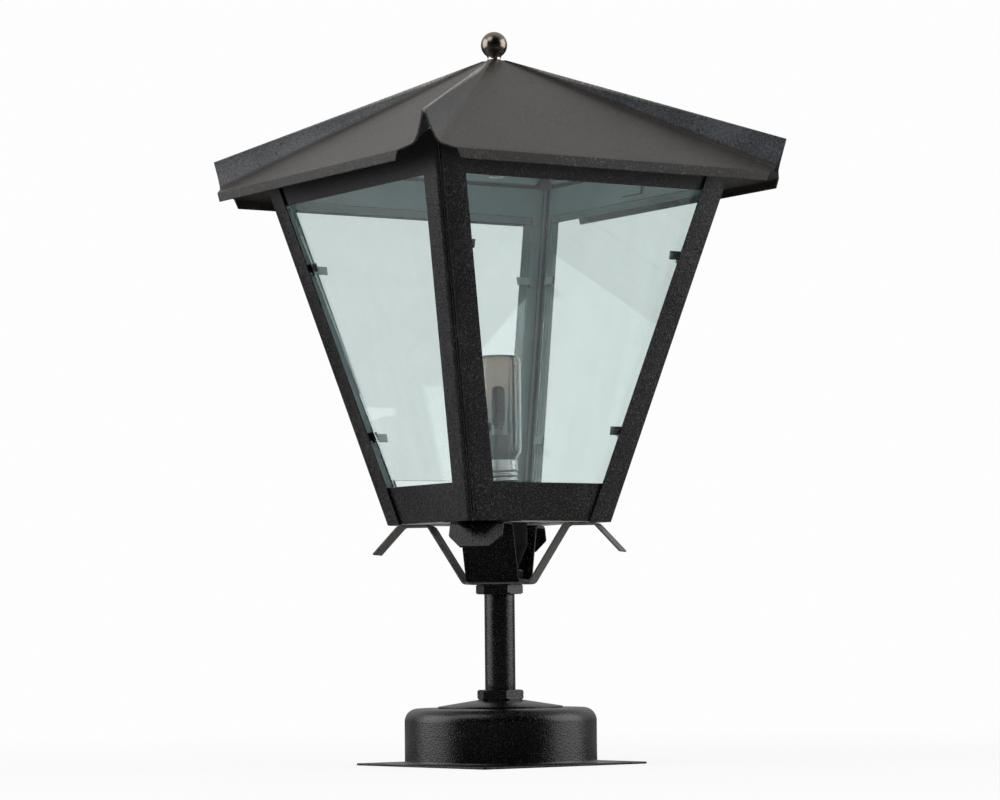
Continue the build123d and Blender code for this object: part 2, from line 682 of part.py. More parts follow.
def roof_outline(apex, wall, scale):
    """Closed plan of the roof with a standing seam at each corner, `scale` times its size at the base level."""
    hip_z = apex - ROOF_SLOPE * SEAM_R / ROOT2
    foot_w = SEAM_FOOT_W - wall
    tip_w = SEAM_TIP_W - wall
    tip_z = hip_z + SEAM_TIP_H - wall
    half_profile = [
        on_base(apex, foot_w, SEAM_R, hip_z - ROOF_SLOPE * foot_w / ROOT2),
        on_base(apex, SEAM_MID_W - wall, SEAM_R, hip_z + SEAM_MID_H - wall / 2),
        on_base(apex, tip_w, SEAM_R, tip_z),
    ]
    crest = on_base(apex, 0, SEAM_R, tip_z + tip_w / 2)
    ends = []
    for sign_x, sign_y in ((1, -1), (1, 1), (-1, 1), (-1, -1)):
        out, across = corner_dirs(sign_x, sign_y)
        place = [
            (scale * (r * out[0] + w * across[0]), scale * (r * out[1] + w * across[1]))
            for r, w in [(r, -w) for r, w in half_profile] + [crest] + list(reversed(half_profile))
        ]
        ThreePointArc(place[0], place[1], place[2])
        ThreePointArc(place[2], place[3], place[4])
        ThreePointArc(place[4], place[5], place[6])
        ends += [place[0], place[6]]
    for corner in range(4):
        Line(ends[2 * corner + 1], ends[(2 * corner + 2) % 8])


def roof_pyramid(apex, flat, wall):
    """Solid pyramid with its four seams, from the lofts' base level up to `flat`."""
    with BuildPart() as pyramid:
        for z in (ROOF_BASE, flat):
            with BuildSketch(Plane.XY.offset(z)):
                with BuildLine():
                    roof_outline(apex, wall, (apex - z) / (apex - ROOF_BASE))
                make_face()
        loft(ruled=True)
    return pyramid.part


def roof():
    outer = roof_pyramid(ROOF_APEX, ROOF_FLAT, 0)
    inner = roof_pyramid(ROOF_APEX - ROOF_DROP, ROOF_FLAT - ROOF_TOP_T, SEAM_WALL)
    side = ROOF_HALF * 2
    with BuildPart() as shell:
        add(outer)
        add(inner, mode=Mode.SUBTRACT)
        with BuildSketch(Plane.XY.offset(ROOF_SKIRT_BOTTOM)):
            Rectangle(side, side)
        extrude(amount=ROOF_APEX - ROOF_SKIRT_BOTTOM, mode=Mode.INTERSECT)
        with BuildSketch(Plane.XY.offset(ROOF_SKIRT_BOTTOM)):
            Rectangle(side, side)
            Rectangle(side - 2 * SHEET, side - 2 * SHEET, mode=Mode.SUBTRACT)
        extrude(amount=ROOF_EDGE - ROOF_SKIRT_BOTTOM - SKIRT_DROP)
        for sign_x, sign_y in CORNERS.values():
            out, _ = corner_dirs(sign_x, sign_y)
            origin = (out[0] * CORNER_CUT_R, out[1] * CORNER_CUT_R, ROOF_EDGE)
            split(bisect_by=Plane(origin=origin, z_dir=(out[0], out[1], -CORNER_CUT_LEAN)), keep=Keep.BOTTOM)
        with Locations((0, 0, ROOF_FLAT)):
            Hole(ROOF_HOLE_R, depth=ROOF_FLAT - ROOF_BASE)
    save(shell.part, "roof")


def finial():
    with BuildPart() as collar:
        with BuildSketch(Plane.XY.offset(ROOF_FLAT)):
            Circle(COLLAR_R)
            Circle(COLLAR_BORE_R, mode=Mode.SUBTRACT)
        extrude(amount=COLLAR_H)
    save(collar.part, "finial_collar")
    with BuildPart() as ball:
        with Locations((0, 0, BALL_Z)):
            Sphere(BALL_R)
        split(bisect_by=Plane.XY.offset(BALL_SEAT), keep=Keep.TOP)
        with BuildSketch(Plane.XY.offset(BALL_SEAT)):
            Circle(BALL_BORE_R)
        extrude(amount=ROD_IN_BALL + BALL_BORE_ROOM, mode=Mode.SUBTRACT)
    save(ball.part, "finial_ball")


# Lampholder and lamp
def lampholder():
    bush = turned([
        (BUSH_BORE_R, STEM_TOP - BUSH_DEPTH), (BUSH_SHANK_R, STEM_TOP - BUSH_DEPTH), (BUSH_SHANK_R, STEM_TOP),
        (BUSH_FLANGE_R, STEM_TOP), (BUSH_FLANGE_R, HOLDER_BOTTOM), (BUSH_NIPPLE_R, HOLDER_BOTTOM),
        (BUSH_NIPPLE_R, BUSH_NIPPLE_TOP), (BUSH_BORE_R, BUSH_NIPPLE_TOP),
    ])
    save(bush, "stem_bush")
    floor_bottom = HOLDER_FLOOR - HOLDER_FLOOR_T
    body = turned([
        (BUSH_NIPPLE_R + FIT, HOLDER_BOTTOM), (HOLDER_BASE_R, HOLDER_BOTTOM), (HOLDER_R, HOLDER_SHOULDER),
        (HOLDER_R, HOLDER_TOP), (HOLDER_BORE_R, HOLDER_TOP), (HOLDER_BORE_R, HOLDER_FLOOR),
        (CONTACT_SHANK_R + FIT, HOLDER_FLOOR), (CONTACT_SHANK_R + FIT, floor_bottom),
        (HOLDER_CHAMBER_R, floor_bottom), (HOLDER_CHAMBER_R, HOLDER_CHAMBER_BOTTOM),
        (BUSH_NIPPLE_R + FIT, HOLDER_CHAMBER_BOTTOM),
    ])
    save(body, "lampholder_body")
    shell_r = HOLDER_BORE_R - FIT
    with BuildPart() as shell:
        with BuildSketch(Plane.XY.offset(HOLDER_FLOOR)):
            Circle(shell_r)
            Circle(shell_r - SHELL_T, mode=Mode.SUBTRACT)
        extrude(amount=SHELL_TOP - HOLDER_FLOOR)
    save(shell.part, "lampholder_shell")
    contact = turned([
        (0, floor_bottom), (CONTACT_SHANK_R, floor_bottom), (CONTACT_SHANK_R, HOLDER_FLOOR),
        (CONTACT_R, HOLDER_FLOOR), (CONTACT_R, CONTACT_TOP), (0, CONTACT_TOP),
    ])
    save(contact, "lampholder_contact")


def bulb():
    with BuildPart() as cap:
        with BuildSketch(Plane.XY.offset(CAP_BOTTOM)):
            Circle(CAP_R)
            Circle(CAP_R - CAP_WALL, mode=Mode.SUBTRACT)
        extrude(amount=CAP_TOP - CAP_BOTTOM)
    save(cap.part, "bulb_cap")
    save(turned([(0, TIP_BOTTOM), (TIP_R, TIP_BOTTOM), (TIP_SHOULDER_R, CAP_BOTTOM), (0, CAP_BOTTOM)]), "bulb_tip")
    wall, neck = BULB_WALL, BULB_NECK_R
    with BuildPart() as glass:
        add(turned([
            (BULB_HOLE_R, BULB_NECK_BOTTOM), (neck, BULB_NECK_BOTTOM), (neck, BULB_NECK_TOP),
            (BULB_R, BULB_SHOULDER_Z), (BULB_R, BULB_TOP), (0, BULB_TOP), (0, BULB_TOP - wall),
            (BULB_R - wall, BULB_TOP - wall), (BULB_R - wall, BULB_SHOULDER_Z + wall),
            (neck - wall, BULB_NECK_TOP + wall), (neck - wall, BULB_NECK_BOTTOM + wall),
            (BULB_HOLE_R, BULB_NECK_BOTTOM + wall),
        ]))
        rims = glass.edges().filter_by(GeomType.CIRCLE).group_by(Axis.Z)
        fillet(rims[-1], BULB_SHOULDER_R)
    save(glass.part, "bulb_glass")
    with BuildPart() as capsule:
        with BuildSketch(Plane.XY.offset(CAPSULE_BOTTOM)):
            Circle(CAPSULE_R)
        extrude(amount=CAPSULE_TOP - CAPSULE_BOTTOM)
        fillet(capsule.edges().group_by(Axis.Z)[-1], CAPSULE_DOME_R)
    save(capsule.part, "bulb_capsule")
    mount = turned([
        (0, MOUNT_BOTTOM), (MOUNT_R, MOUNT_BOTTOM), (MOUNT_R, RING_BOTTOM), (RING_R, RING_BOTTOM),
        (RING_R, RING_TOP), (PIN_R, RING_TOP), (PIN_R, CAPSULE_BOTTOM), (0, CAPSULE_BOTTOM),
    ])
    save(mount, "bulb_mount")


base_dome()
dished_washer()
stem()
stem_nuts()
terminal_block()
dome_screws()
lamp_lead()
cradle()
cradle_screws()
leaf_spring()
for corner, (corner_x, corner_y) in CORNERS.items():
    corner_post(corner, corner_x, corner_y)
for face, index in SIDES.items():
    rail(f"bottom_rail_{face}", index, HEAD_BOTTOM, WINDOW_BOTTOM, RIVET_HEIGHTS[0])
    rail(f"top_rail_{face}", index, WINDOW_TOP, HEAD_TOP, RIVET_HEIGHTS[1])
frame_rivets()
panes()
glass_clips()
floor_pan()
top_bridge()
roof_rod()
roof()
finial()
lampholder()
bulb()
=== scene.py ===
import json
import math

import bmesh
import bpy
import numpy as np
from mathutils import Matrix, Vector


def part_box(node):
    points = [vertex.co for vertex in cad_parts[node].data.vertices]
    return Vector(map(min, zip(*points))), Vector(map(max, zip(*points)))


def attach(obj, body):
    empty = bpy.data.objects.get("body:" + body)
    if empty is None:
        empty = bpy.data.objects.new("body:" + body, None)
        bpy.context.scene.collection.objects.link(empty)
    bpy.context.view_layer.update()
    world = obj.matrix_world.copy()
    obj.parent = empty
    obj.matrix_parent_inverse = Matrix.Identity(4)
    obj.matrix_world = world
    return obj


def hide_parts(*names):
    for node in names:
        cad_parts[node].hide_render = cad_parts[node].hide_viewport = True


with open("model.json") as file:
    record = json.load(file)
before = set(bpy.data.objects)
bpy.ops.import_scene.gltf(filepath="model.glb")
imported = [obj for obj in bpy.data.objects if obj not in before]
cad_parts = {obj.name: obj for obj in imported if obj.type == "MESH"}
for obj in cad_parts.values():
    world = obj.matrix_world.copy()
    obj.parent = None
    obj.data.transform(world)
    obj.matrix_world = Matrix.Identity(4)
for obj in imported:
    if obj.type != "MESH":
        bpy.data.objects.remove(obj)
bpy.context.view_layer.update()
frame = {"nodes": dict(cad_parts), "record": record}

print("lantern: frame loaded,", len(frame["nodes"]), "nodes")

# Lengths are worked out in millimetres and turned into metres where a mesh is made.
metres = 0.001
sides = {"front": 0, "right": 1, "back": 2, "left": 3}
corners = {"front": (-1, -1), "right": (1, -1), "back": (1, 1), "left": (-1, 1)}
diagonal = math.sqrt(0.5)


# Shader maths: a socket that adds its own Math nodes
class Wire:
    def __init__(self, finish, socket):
        self.finish = finish
        self.socket = socket

    def __add__(self, other):
        return self.finish.sum("ADD", self, other)

    def __sub__(self, other):
        return self.finish.sum("SUBTRACT", self, other)

    def __rsub__(self, other):
        return self.finish.sum("SUBTRACT", other, self)

    def __mul__(self, other):
        return self.finish.sum("MULTIPLY", self, other)

    __radd__ = __add__
    __rmul__ = __mul__


class Finish:
    def __init__(self, name, tree=None):
        self.material = None
        if tree is None:
            self.material = bpy.data.materials.new(name)
            self.material.use_nodes = True
            tree = self.material.node_tree
        self.tree = tree
        tree.nodes.clear()

    def add(self, kind, settings=None, sockets=None, out=0):
        node = self.tree.nodes.new(kind)
        for key, value in (settings or {}).items():
            setattr(node, key, value)
        for key, value in (sockets or {}).items():
            if isinstance(value, Wire):
                self.tree.links.new(value.socket, node.inputs[key])
            else:
                node.inputs[key].default_value = value
        return Wire(self, node.outputs[out]) if len(node.outputs) else node

    def sum(self, operation, first, second):
        return self.add("ShaderNodeMath", {"operation": operation}, {0: first, 1: second})

    def between(self, value, low, high):
        settings = {"interpolation_type": "SMOOTHSTEP"}
        sockets = {"Value": value, "From Min": low, "From Max": high}
        return self.add("ShaderNodeMapRange", settings, sockets)

    def blend(self, mask, *pair):
        # a colour of three values is opaque
        first, second = [(*c, 1) if isinstance(c, tuple) and len(c) == 3 else c for c in pair]
        return self.add("ShaderNodeMix", {"data_type": "RGBA"}, {0: mask, 6: first, 7: second}, 2)

    def place(self):
        return self.add("ShaderNodeTexCoord", out=3)

    def axis(self, vector, k):
        return self.add("ShaderNodeSeparateXYZ", None, {0: vector}, k)

    def absolute(self, value):
        return self.sum("ABSOLUTE", value, 0.0)

    def rays(self):
        # whether a ray comes straight from the camera, from a glossy surface, through glass
        return [self.add("ShaderNodeLightPath", out=k) for k in (0, 3, 6)]

    def measure(self, operation, first, second=(0, 0, 0)):
        # a number from one vector or two
        return self.add("ShaderNodeVectorMath", {"operation": operation}, {0: first, 1: second}, 1)

    def noise(self, place, scale, detail, rough):
        sockets = {"Vector": place, "Scale": scale, "Detail": detail, "Roughness": rough}
        return self.add("ShaderNodeTexNoise", None, sockets)

    def bump(self, height, strength, distance):
        sockets = {"Height": height, "Strength": strength, "Distance": distance}
        return self.add("ShaderNodeBump", None, sockets)

    def close(self, surface):
        self.add("ShaderNodeOutputMaterial", None, {"Surface": surface})
        return self.material

    def coated(self, colour, rough, normal, metallic=0.0):
        sockets = {"Base Color": colour, "Roughness": rough, "Normal": normal, "Metallic": metallic}
        return self.close(self.add("ShaderNodeBsdfPrincipled", None, sockets))


def grey(value):
    return (value, value, value, 1)


def turning(angle):
    # the matrix that turns x, y about Z by an angle
    return np.array([[math.cos(angle), -math.sin(angle)], [math.sin(angle), math.cos(angle)]])


def unit(vector):
    return vector / np.linalg.norm(vector)


def levels(node):
    # the lowest and the highest point of a node, in millimetres
    return [edge[2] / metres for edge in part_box(node)]


def placed(name, data):
    thing = bpy.data.objects.new(name, data)
    bpy.context.scene.collection.objects.link(thing)
    return thing


def table(names, rows):
    # one dictionary of sizes per row, with their names given once
    return {key: dict(zip(names, row)) for key, row in rows.items()}


quarterTurns = [turning(quarter) for quarter in np.arange(4) * math.pi / 2]

# Sizes of the roof, in millimetres, read by its coat as well. The apex, where the faces would meet, lies above
# the flat on top
roofFlat = 2.8
roofSize = {"apex": levels("roof")[1] + roofFlat, "flat": roofFlat, "flatUnder": 4.8, "slope": 0.59355, "half": 155.0,
            "skirt": 6.6, "hem": 0.3, "skirtInside": 3.0, "bend": 1.3, "sheet": 1.0, "drop": 1.2, "hole": 3.3,
            "cutIn": 20.2, "cutLean": 0.345, "sectionIn": 14.2, "tipWidth": 1.35, "tipHeight": 20.0,
            "throatWidth": 6.3, "footWidth": 10.5, "wall": 0.95}

# Structure paint: a pebbled grain under a fine one, dust on what lies flat, pits, and bare primer where no
# spray reached. "primer" is none, towardsAxis (what faces the lantern's middle) or underRoof (inside the head).
# Thresholds come in pairs, where a mask starts and where it is full; places are in metres
coatSizes = ("dark", "light", "tint", "rough", "pebble", "speck", "sparkle", "share", "lift", "depth", "dust", "primer")
coats = table(coatSizes, {
    "blackCoat": (0.0005, 0.0030, (1.0, 1.0, 1.0), 0.25, 900, 980, 0.022, 0.555, 0.8, 0.00028, 0.003, None),
    "frameCoat": (0.0005, 0.0034, (1.04, 0.99, 1.08), 0.31, 900, 980, 0.050, 0.530, 0.9, 0.00040, 0.0, "towardsAxis"),
    # painted light: the roof's coat is the frame's black coat made far lighter, for the light that falls on the roof
    # from above
    "roofCoat": (0.015, 0.034, (1.22, 1.01, 0.80), 0.42, 800, 900, 0.120, 0.58, 0.5, 0.0003, 0.008, "underRoof"),
    "floorCoat": (0.46, 0.58, (1.0, 1.0, 0.98), 0.55, 500, 1500, 0.60, 0.6, 0.3, 0.0003, 0.0, None),
    "springCoat": (0.066, 0.125, (1.08, 1.0, 0.93), 0.52, 700, 1200, 0.13, 0.6, 0.4, 0.0003, 0.0, None),
})
primer = {"low": (0.350, 0.430, 0.440), "high": (0.460, 0.550, 0.560), "reach": (0.1195, 0.1165),
          "inwards": (-0.5, -0.8), "downwards": (-0.2, -0.5)}
grainSize = {"cloud": 14.0, "pit": 260.0, "pits": (0.70, 0.74), "speckStep": 0.12, "tones": (0.42, 0.64),
             "specks": (0.36, 0.58), "settled": (0.35, 0.75), "flat": (0.5, 0.95), "worn": (0.4, 0.62)}
# painted sheen on the roof's seams, a painted highlight on their crests and painted shade on the skirt: tones, and
# where each starts and is full
fins = {"stand": (0.0009, 0.0032), "dark": (0.032, 0.034, 0.040), "light": (0.088, 0.094, 0.108),
        "crest": (0.46, 0.45, 0.43), "crestWidth": (0.0016, 0.0006), "front": (-0.03, -0.06), "frontLess": 0.65,
        "lip": (0.1543, 0.1548), "lipShade": 0.80, "lipTone": 0.014, "lipDull": 0.22}
# painted shade under the eaves: the heights where it starts and where it is full, and the roughness it adds
eave = {"height": (0.392, 0.420), "rough": 0.45}
# painted shade on the floor's underside over the cradle's shelves: where it starts and where it is full, and its tone
shelf = {"reach": (0.070, 0.074), "tone": 0.004}


def tinted(size, value):
    return tuple(value * c for c in size["tint"])


def barePrimer(f, place, kind):
    # how bare the surface is, from 0 to 1: the sides that look into the head
    normal = f.add("ShaderNodeNewGeometry", out=1)
    x, y = f.axis(place, 0), f.axis(place, 1)
    nx, ny, nz = [f.axis(normal, k) for k in range(3)]
    wide, deep = f.absolute(x), f.absolute(y)
    if kind == "towardsAxis":
        alongX = f.sum("GREATER_THAN", wide, deep)
        facing = alongX * nx * f.sum("SIGN", x, 0.0) + (1.0 - alongX) * ny * f.sum("SIGN", y, 0.0)
        return f.between(facing, *primer["inwards"])
    return f.between(nz, *primer["downwards"]) * f.between(f.sum("MAXIMUM", wide, deep), *primer["reach"])


def finTone(f, place, colour, tone):
    # the seams stand above the plane of the roof's faces; painted sheen lightens them, a painted highlight lines their
    # crests, and painted shade darkens the skirt
    x, y, z = [f.axis(place, k) for k in range(3)]
    wide, deep = f.absolute(x), f.absolute(y)
    reach = f.sum("MAXIMUM", wide, deep)
    stand = f.between(z + reach * roofSize["slope"] - roofSize["apex"] * metres, *fins["stand"])
    # painted sheen: the seams are lighter and cooler than the faces, the front seam less so
    fin = stand * (1.0 - f.between(x + y, *fins["front"]) * fins["frontLess"])
    colour = f.blend(fin, colour, f.blend(tone, fins["dark"], fins["light"]))
    # painted highlight: a light line along each seam's crest
    worn = f.between(f.absolute(wide - deep), *fins["crestWidth"]) * stand * (tone * 0.5 + 0.4)
    colour = f.blend(worn, colour, fins["crest"])
    # painted shade: the skirt, hanging down out of the light from above, is darkened
    lip = f.between(reach, *fins["lip"]) * (1.0 - fin)
    return f.blend(lip * fins["lipShade"], colour, grey(fins["lipTone"])), fin, lip


def powderCoat(name):
    size = coats[name]
    f = Finish(name)
    place = f.place()
    grain = f.noise(place, size["speck"], 1.0, 0.5)
    pebble = f.noise(place, size["pebble"], 2.0, 0.55)
    cloud = f.noise(place, grainSize["cloud"], 3.0, 0.55)
    pit = f.between(f.noise(place, grainSize["pit"], 1.0, 0.5), *grainSize["pits"])
    sparkle = f.between(grain, size["share"], size["share"] + grainSize["speckStep"])
    tone = f.between(pebble * 0.6 + cloud * 0.4, *grainSize["tones"])
    colour = f.blend(tone, tinted(size, size["dark"]), tinted(size, size["light"]))
    if size["dust"]:
        up = f.axis(f.add("ShaderNodeNewGeometry", out=1), 2)
        settled = f.between(up, *grainSize["flat"]) * f.between(cloud, *grainSize["settled"])
        colour = f.blend(settled * 0.6, colour, tinted(size, size["light"] + size["dust"]))
    # painted glints: the grain catching the light is painted as lighter specks in the base colour
    specks = sparkle * f.between(cloud * 0.5 + pebble * 0.5, *grainSize["specks"])
    glint = tinted(size, size["sparkle"])
    dulled = 0.0
    if name == "roofCoat":
        colour, fin, lip = finTone(f, place, colour, tone)
        either = f.sum("MAXIMUM", fin, lip)
        # painted glints, stronger on the roof's seams and skirt
        specks = specks * (either * 0.85 + 0.15)
        glint = f.blend(either, glint, grey(size["sparkle"] * 0.9))
        dulled = lip * fins["lipDull"]
    if name == "floorCoat":  # painted shade: the floor's underside is black, without glints, over the cradle's shelves, which shade it
        shadeOverShelf = f.between(f.absolute(f.axis(place, 0) + f.axis(place, 1)), *shelf["reach"])
        colour = f.blend(shadeOverShelf, colour, grey(shelf["tone"]))
        specks = specks * (1.0 - shadeOverShelf)
    colour = f.blend(specks, colour, glint)
    colour = f.blend(pit * 0.8, colour, tinted(size, size["dark"] * 0.4))
    rough = size["rough"] + dulled + (grain - 0.5) * 0.35 + (cloud - 0.5) * 0.15
    if name == "frameCoat":  # painted shade: the coat is darker and duller up under the eaves, where the roof shades it
        high = f.between(f.axis(place, 2), *eave["height"])
        colour = f.blend(high * 0.9, colour, grey(size["dark"] * 0.5))
        rough = rough + high * eave["rough"]
    if size["primer"]:
        bare = barePrimer(f, place, size["primer"])
        worn = f.between(cloud * 0.6 + pebble * 0.4, *grainSize["worn"])
        colour = f.blend(bare, colour, f.blend(worn, primer["low"], primer["high"]))
        rough = rough + bare * 0.12
    height = pebble * 0.7 + grain * 0.5 - pit * 0.4
    return f.coated(colour, rough, f.bump(height, size["lift"], size["depth"]))


# Plated and bare metal: fine turning or rolling marks, and a slow change of sheen
metals = table(("colour", "rough", "marks"), {
    "brightNickel": ((0.72, 0.70, 0.66), 0.16, 0.05),
    "darkNickel": ((0.275, 0.240, 0.205), 0.24, 0.08),
    "zincSteel": ((0.50, 0.50, 0.51), 0.34, 0.12),
    "turnedBrass": ((0.66, 0.50, 0.24), 0.28, 0.08),
})


def plated(name):
    size = metals[name]
    f = Finish(name)
    place = f.place()
    stretch = f.add("ShaderNodeMapping", None, {"Vector": place, "Scale": (1, 1, 9)})
    marks = f.noise(stretch, 900.0, 4.0, 0.6)
    cloud = f.noise(place, 60.0, 3.0, 0.5)
    colour = f.blend(cloud, tuple(c * 0.82 for c in size["colour"]), size["colour"])
    rough = size["rough"] + (marks - 0.5) * size["marks"] + (cloud - 0.5) * 0.08
    return f.coated(colour, rough, f.bump(marks, 0.08, 0.0001), 1.0)


# Clear glass under a thin film of dust, which wiping left in slanting smears
glasses = {
    "windowGlass": {"tint": (0.828, 0.888, 0.878), "shine": 0.5, "ior": 1.5, "film": (0.70, 0.82, 0.81),
                    "haze": 0.016, "smears": 0.035, "wave": 3.0},
    "lampGlass": {"tint": (0.53, 0.475, 0.445), "burnt": (0.36, 0.40, 0.42), "burntShare": (0.78, 0.40),
                  "shine": 0.12, "ior": 1.47, "film": (0.16, 0.14, 0.13), "haze": 0.02, "smears": 0.03,
                  "wave": 20.0},
}


def clearGlass(name):
    size = glasses[name]
    f = Finish(name)
    place = f.place()
    slant = f.add("ShaderNodeMapping", None,
                  {"Vector": place, "Rotation": (0.7, 0.7, 0.0), "Scale": (1.0, 6.0, 1.0)})
    smears = f.noise(slant, 9.0, 3.0, 0.5)
    speckle = f.noise(place, 40.0, 3.0, 0.5)
    wave = f.noise(place, size["wave"], 1.0, 0.4)
    colour = f.blend(smears, size["tint"], tuple(min(1, c * 1.03) for c in size["tint"]))
    if "burnt" in size:  # the lamp's glass is darker towards its foot
        low, high = levels("bulb_glass")
        foot = f.between(f.axis(place, 2), *[(low + (high - low) * share) * metres for share in size["burntShare"]])
        colour = f.blend(foot, colour, size["burnt"])
    clear = f.add("ShaderNodeBsdfPrincipled", None, {
        "Base Color": colour,
        "Roughness": f.between(smears, 0.5, 0.8) * 0.015,
        "IOR": size["ior"],
        "Specular IOR Level": size["shine"],
        "Transmission Weight": 1.0,
        "Normal": f.bump(wave, 0.03, 0.001),
    })
    dust = f.add("ShaderNodeBsdfPrincipled", None, {"Base Color": size["film"] + (1,), "Roughness": 0.8})
    share = size["haze"] + f.between(smears * 0.85 + speckle * 0.15, 0.35, 0.7) * size["smears"]
    return f.close(f.add("ShaderNodeMixShader", None, {0: share, 1: clear, 2: dust}))


# Moulded and fired pieces: base colour pair, sheen, and how much the surface is orange-peeled
mouldings = table(("low", "high", "rough", "peel"), {
    "creamPlastic": ((0.70, 0.66, 0.57), (0.78, 0.75, 0.67), 0.45, 0.12),
    "blackPlastic": ((0.004, 0.004, 0.004), (0.009, 0.009, 0.009), 0.70, 0.15),
    "leadSheath": ((0.006, 0.006, 0.006), (0.014, 0.014, 0.013), 0.65, 0.25),
    "ceramic": ((0.46, 0.44, 0.41), (0.60, 0.58, 0.54), 0.38, 0.10),
    "blackGlass": ((0.003, 0.005, 0.007), (0.008, 0.011, 0.013), 0.22, 0.05),
    "capsuleGlass": ((0.004, 0.008, 0.010), (0.090, 0.110, 0.118), 0.20, 0.06),
})


def moulded(name):
    size = mouldings[name]
    f = Finish(name)
    place = f.place()
    cloud = f.noise(place, 260.0, 4.0, 0.7)
    peel = f.noise(place, 1400.0, 2.0, 0.5)
    colour = f.blend(f.between(cloud, 0.35, 0.7), size["low"], size["high"])
    rough = size["rough"] + (peel - 0.5) * 0.15 + (cloud - 0.5) * 0.08
    return f.coated(colour, rough, f.bump(peel, size["peel"], 0.0002))


finishes = {}
for names, make in ((coats, powderCoat), (metals, plated), (glasses, clearGlass), (mouldings, moulded)):
    finishes.update({name: make(name) for name in names})
nodeSlot = {entry["node"]: entry["material_slot"] for entry in frame["record"]["subparts"]}
nodeBody = {node: body for body, nodes in frame["record"]["behaviour"]["bodies"].items() for node in nodes}
framePieces = ("post_", "top_rail_", "bottom_rail_", "top_bridge", "glass_clips", "frame_rivets")
otherFinishes = {"grey_coat": "floorCoat", "spring_steel": "springCoat", "brass": "turnedBrass",
                 "stem_bush": "blackPlastic", "bulb_cap": "zincSteel"}


def finishOf(node):
    # of its own, or of the head's frame, which is sprayed from outside only, or of its slot: black_coat has blackCoat
    if node.startswith(framePieces):
        return finishes["frameCoat"]
    slot = nodeSlot[node]
    first, *others = slot.split("_")
    usual = first + "".join(word.capitalize() for word in others)
    return finishes[otherFinishes.get(node, otherFinishes.get(slot, usual))]


for node, shown in frame["nodes"].items():
    shown.data.materials.clear()
    shown.data.materials.append(finishOf(node))
print("lantern: finishes ready,", len(finishes))


# Surfaces
def gridFaces(rows, columns, closeRows, closeColumns):
    # each face joins a grid point to the next along both ways, wrapping where the grid is closed
    i = np.arange(rows if closeRows else rows - 1)
    j = np.arange(columns if closeColumns else columns - 1)
    i, j = [a.ravel() for a in np.meshgrid(i, j, indexing="ij")]
    up, along = (i + 1) % rows, (j + 1) % columns
    return np.stack([i * columns + j, i * columns + along, up * columns + along, up * columns + j], 1)


def surface(name, points, faces, finish, weld=0.0):
    # one object from points in millimetres and faces, whose points closer than the weld become one
    mesh = bpy.data.meshes.new(name)
    mesh.from_pydata((points.reshape(-1, 3) * metres).tolist(), [], faces.tolist())
    tidy = bmesh.new()
    tidy.from_mesh(mesh)
    if weld:
        bmesh.ops.remove_doubles(tidy, verts=tidy.verts, dist=weld * metres)
        bmesh.ops.dissolve_degenerate(tidy, edges=tidy.edges, dist=weld * metres * 0.1)
    bmesh.ops.recalc_face_normals(tidy, faces=tidy.faces)
    tidy.to_mesh(mesh)
    tidy.free()
    mesh.materials.append(finish)
    return placed(name, mesh)


def piece(name, points, faces, nodes, bevel=0.0, sharp=38):
    # a surface that stands for the CAD nodes named, rides on their body and takes their slot
    shape = surface(name, points, faces, finishOf(nodes[0]), 0.002)
    mesh = shape.data
    mesh.polygons.foreach_set("use_smooth", np.ones(len(mesh.polygons), bool))
    mesh.set_sharp_from_angle(angle=math.radians(sharp))
    if bevel:
        soft = shape.modifiers.new("softEdge", "BEVEL")
        soft.width = bevel * metres
        soft.segments = 2
        soft.limit_method = "ANGLE"
        soft.angle_limit = math.radians(sharp)
        soft.harden_normals = True
    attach(shape, nodeBody[nodes[0]])
    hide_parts(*nodes)
    return shape


def sheet(outer, inner, closed=False):
    # two grids of one size, the faces between their open borders closed: returns points and faces.
    # A closed one runs round, so that its columns have no border
    rows, columns = outer.shape[:2]
    count = rows * columns
    faces = [gridFaces(rows, columns, False, closed)]
    faces.append(faces[0][:, ::-1] + count)
    index = np.arange(count).reshape(rows, columns)
    borders = [index[0], index[-1][::-1]]
    if closed:
        borders = [np.append(border, border[0]) for border in borders]
    else:
        borders += [index[:, 0][::-1], index[:, -1]]
    for border in borders:
        faces.append(np.stack([border[:-1], border[1:], border[1:] + count, border[:-1] + count], 1)[:, ::-1])
    return np.concatenate([outer.reshape(-1, 3), inner.reshape(-1, 3)]), np.concatenate(faces)


def joined(parts):
    # points and faces of several parts as those of one
    starts = np.cumsum([0] + [len(points) for points, _ in parts])
    return np.concatenate([points for points, _ in parts]), np.concatenate(
        [faces + start for (_, faces), start in zip(parts, starts)])


def roundedPath(cornerPoints, radii, steps):
    # straight runs joined by tangent arcs: arc point = centre + radius (cos t e1 + sin t e2)
    cornerPoints = np.asarray(cornerPoints, float)
    parts = [cornerPoints[:1]]
    for before, corner, after, radius in zip(cornerPoints[:-2], cornerPoints[1:-1], cornerPoints[2:], radii):
        back, ahead = unit(before - corner), unit(after - corner)
        turn = math.pi - math.acos(float(np.clip(back @ ahead, -1, 1)))
        middle = unit(back + ahead)
        centre = corner + middle * radius / math.cos(turn / 2)
        start = corner + back * radius * math.tan(turn / 2)
        t = np.linspace(0, turn, steps + 1)[:, None]
        parts.append(centre + np.cos(t) * (start - centre) - radius * np.sin(t) * back)
    parts.append(cornerPoints[-1:])
    return np.concatenate(parts)


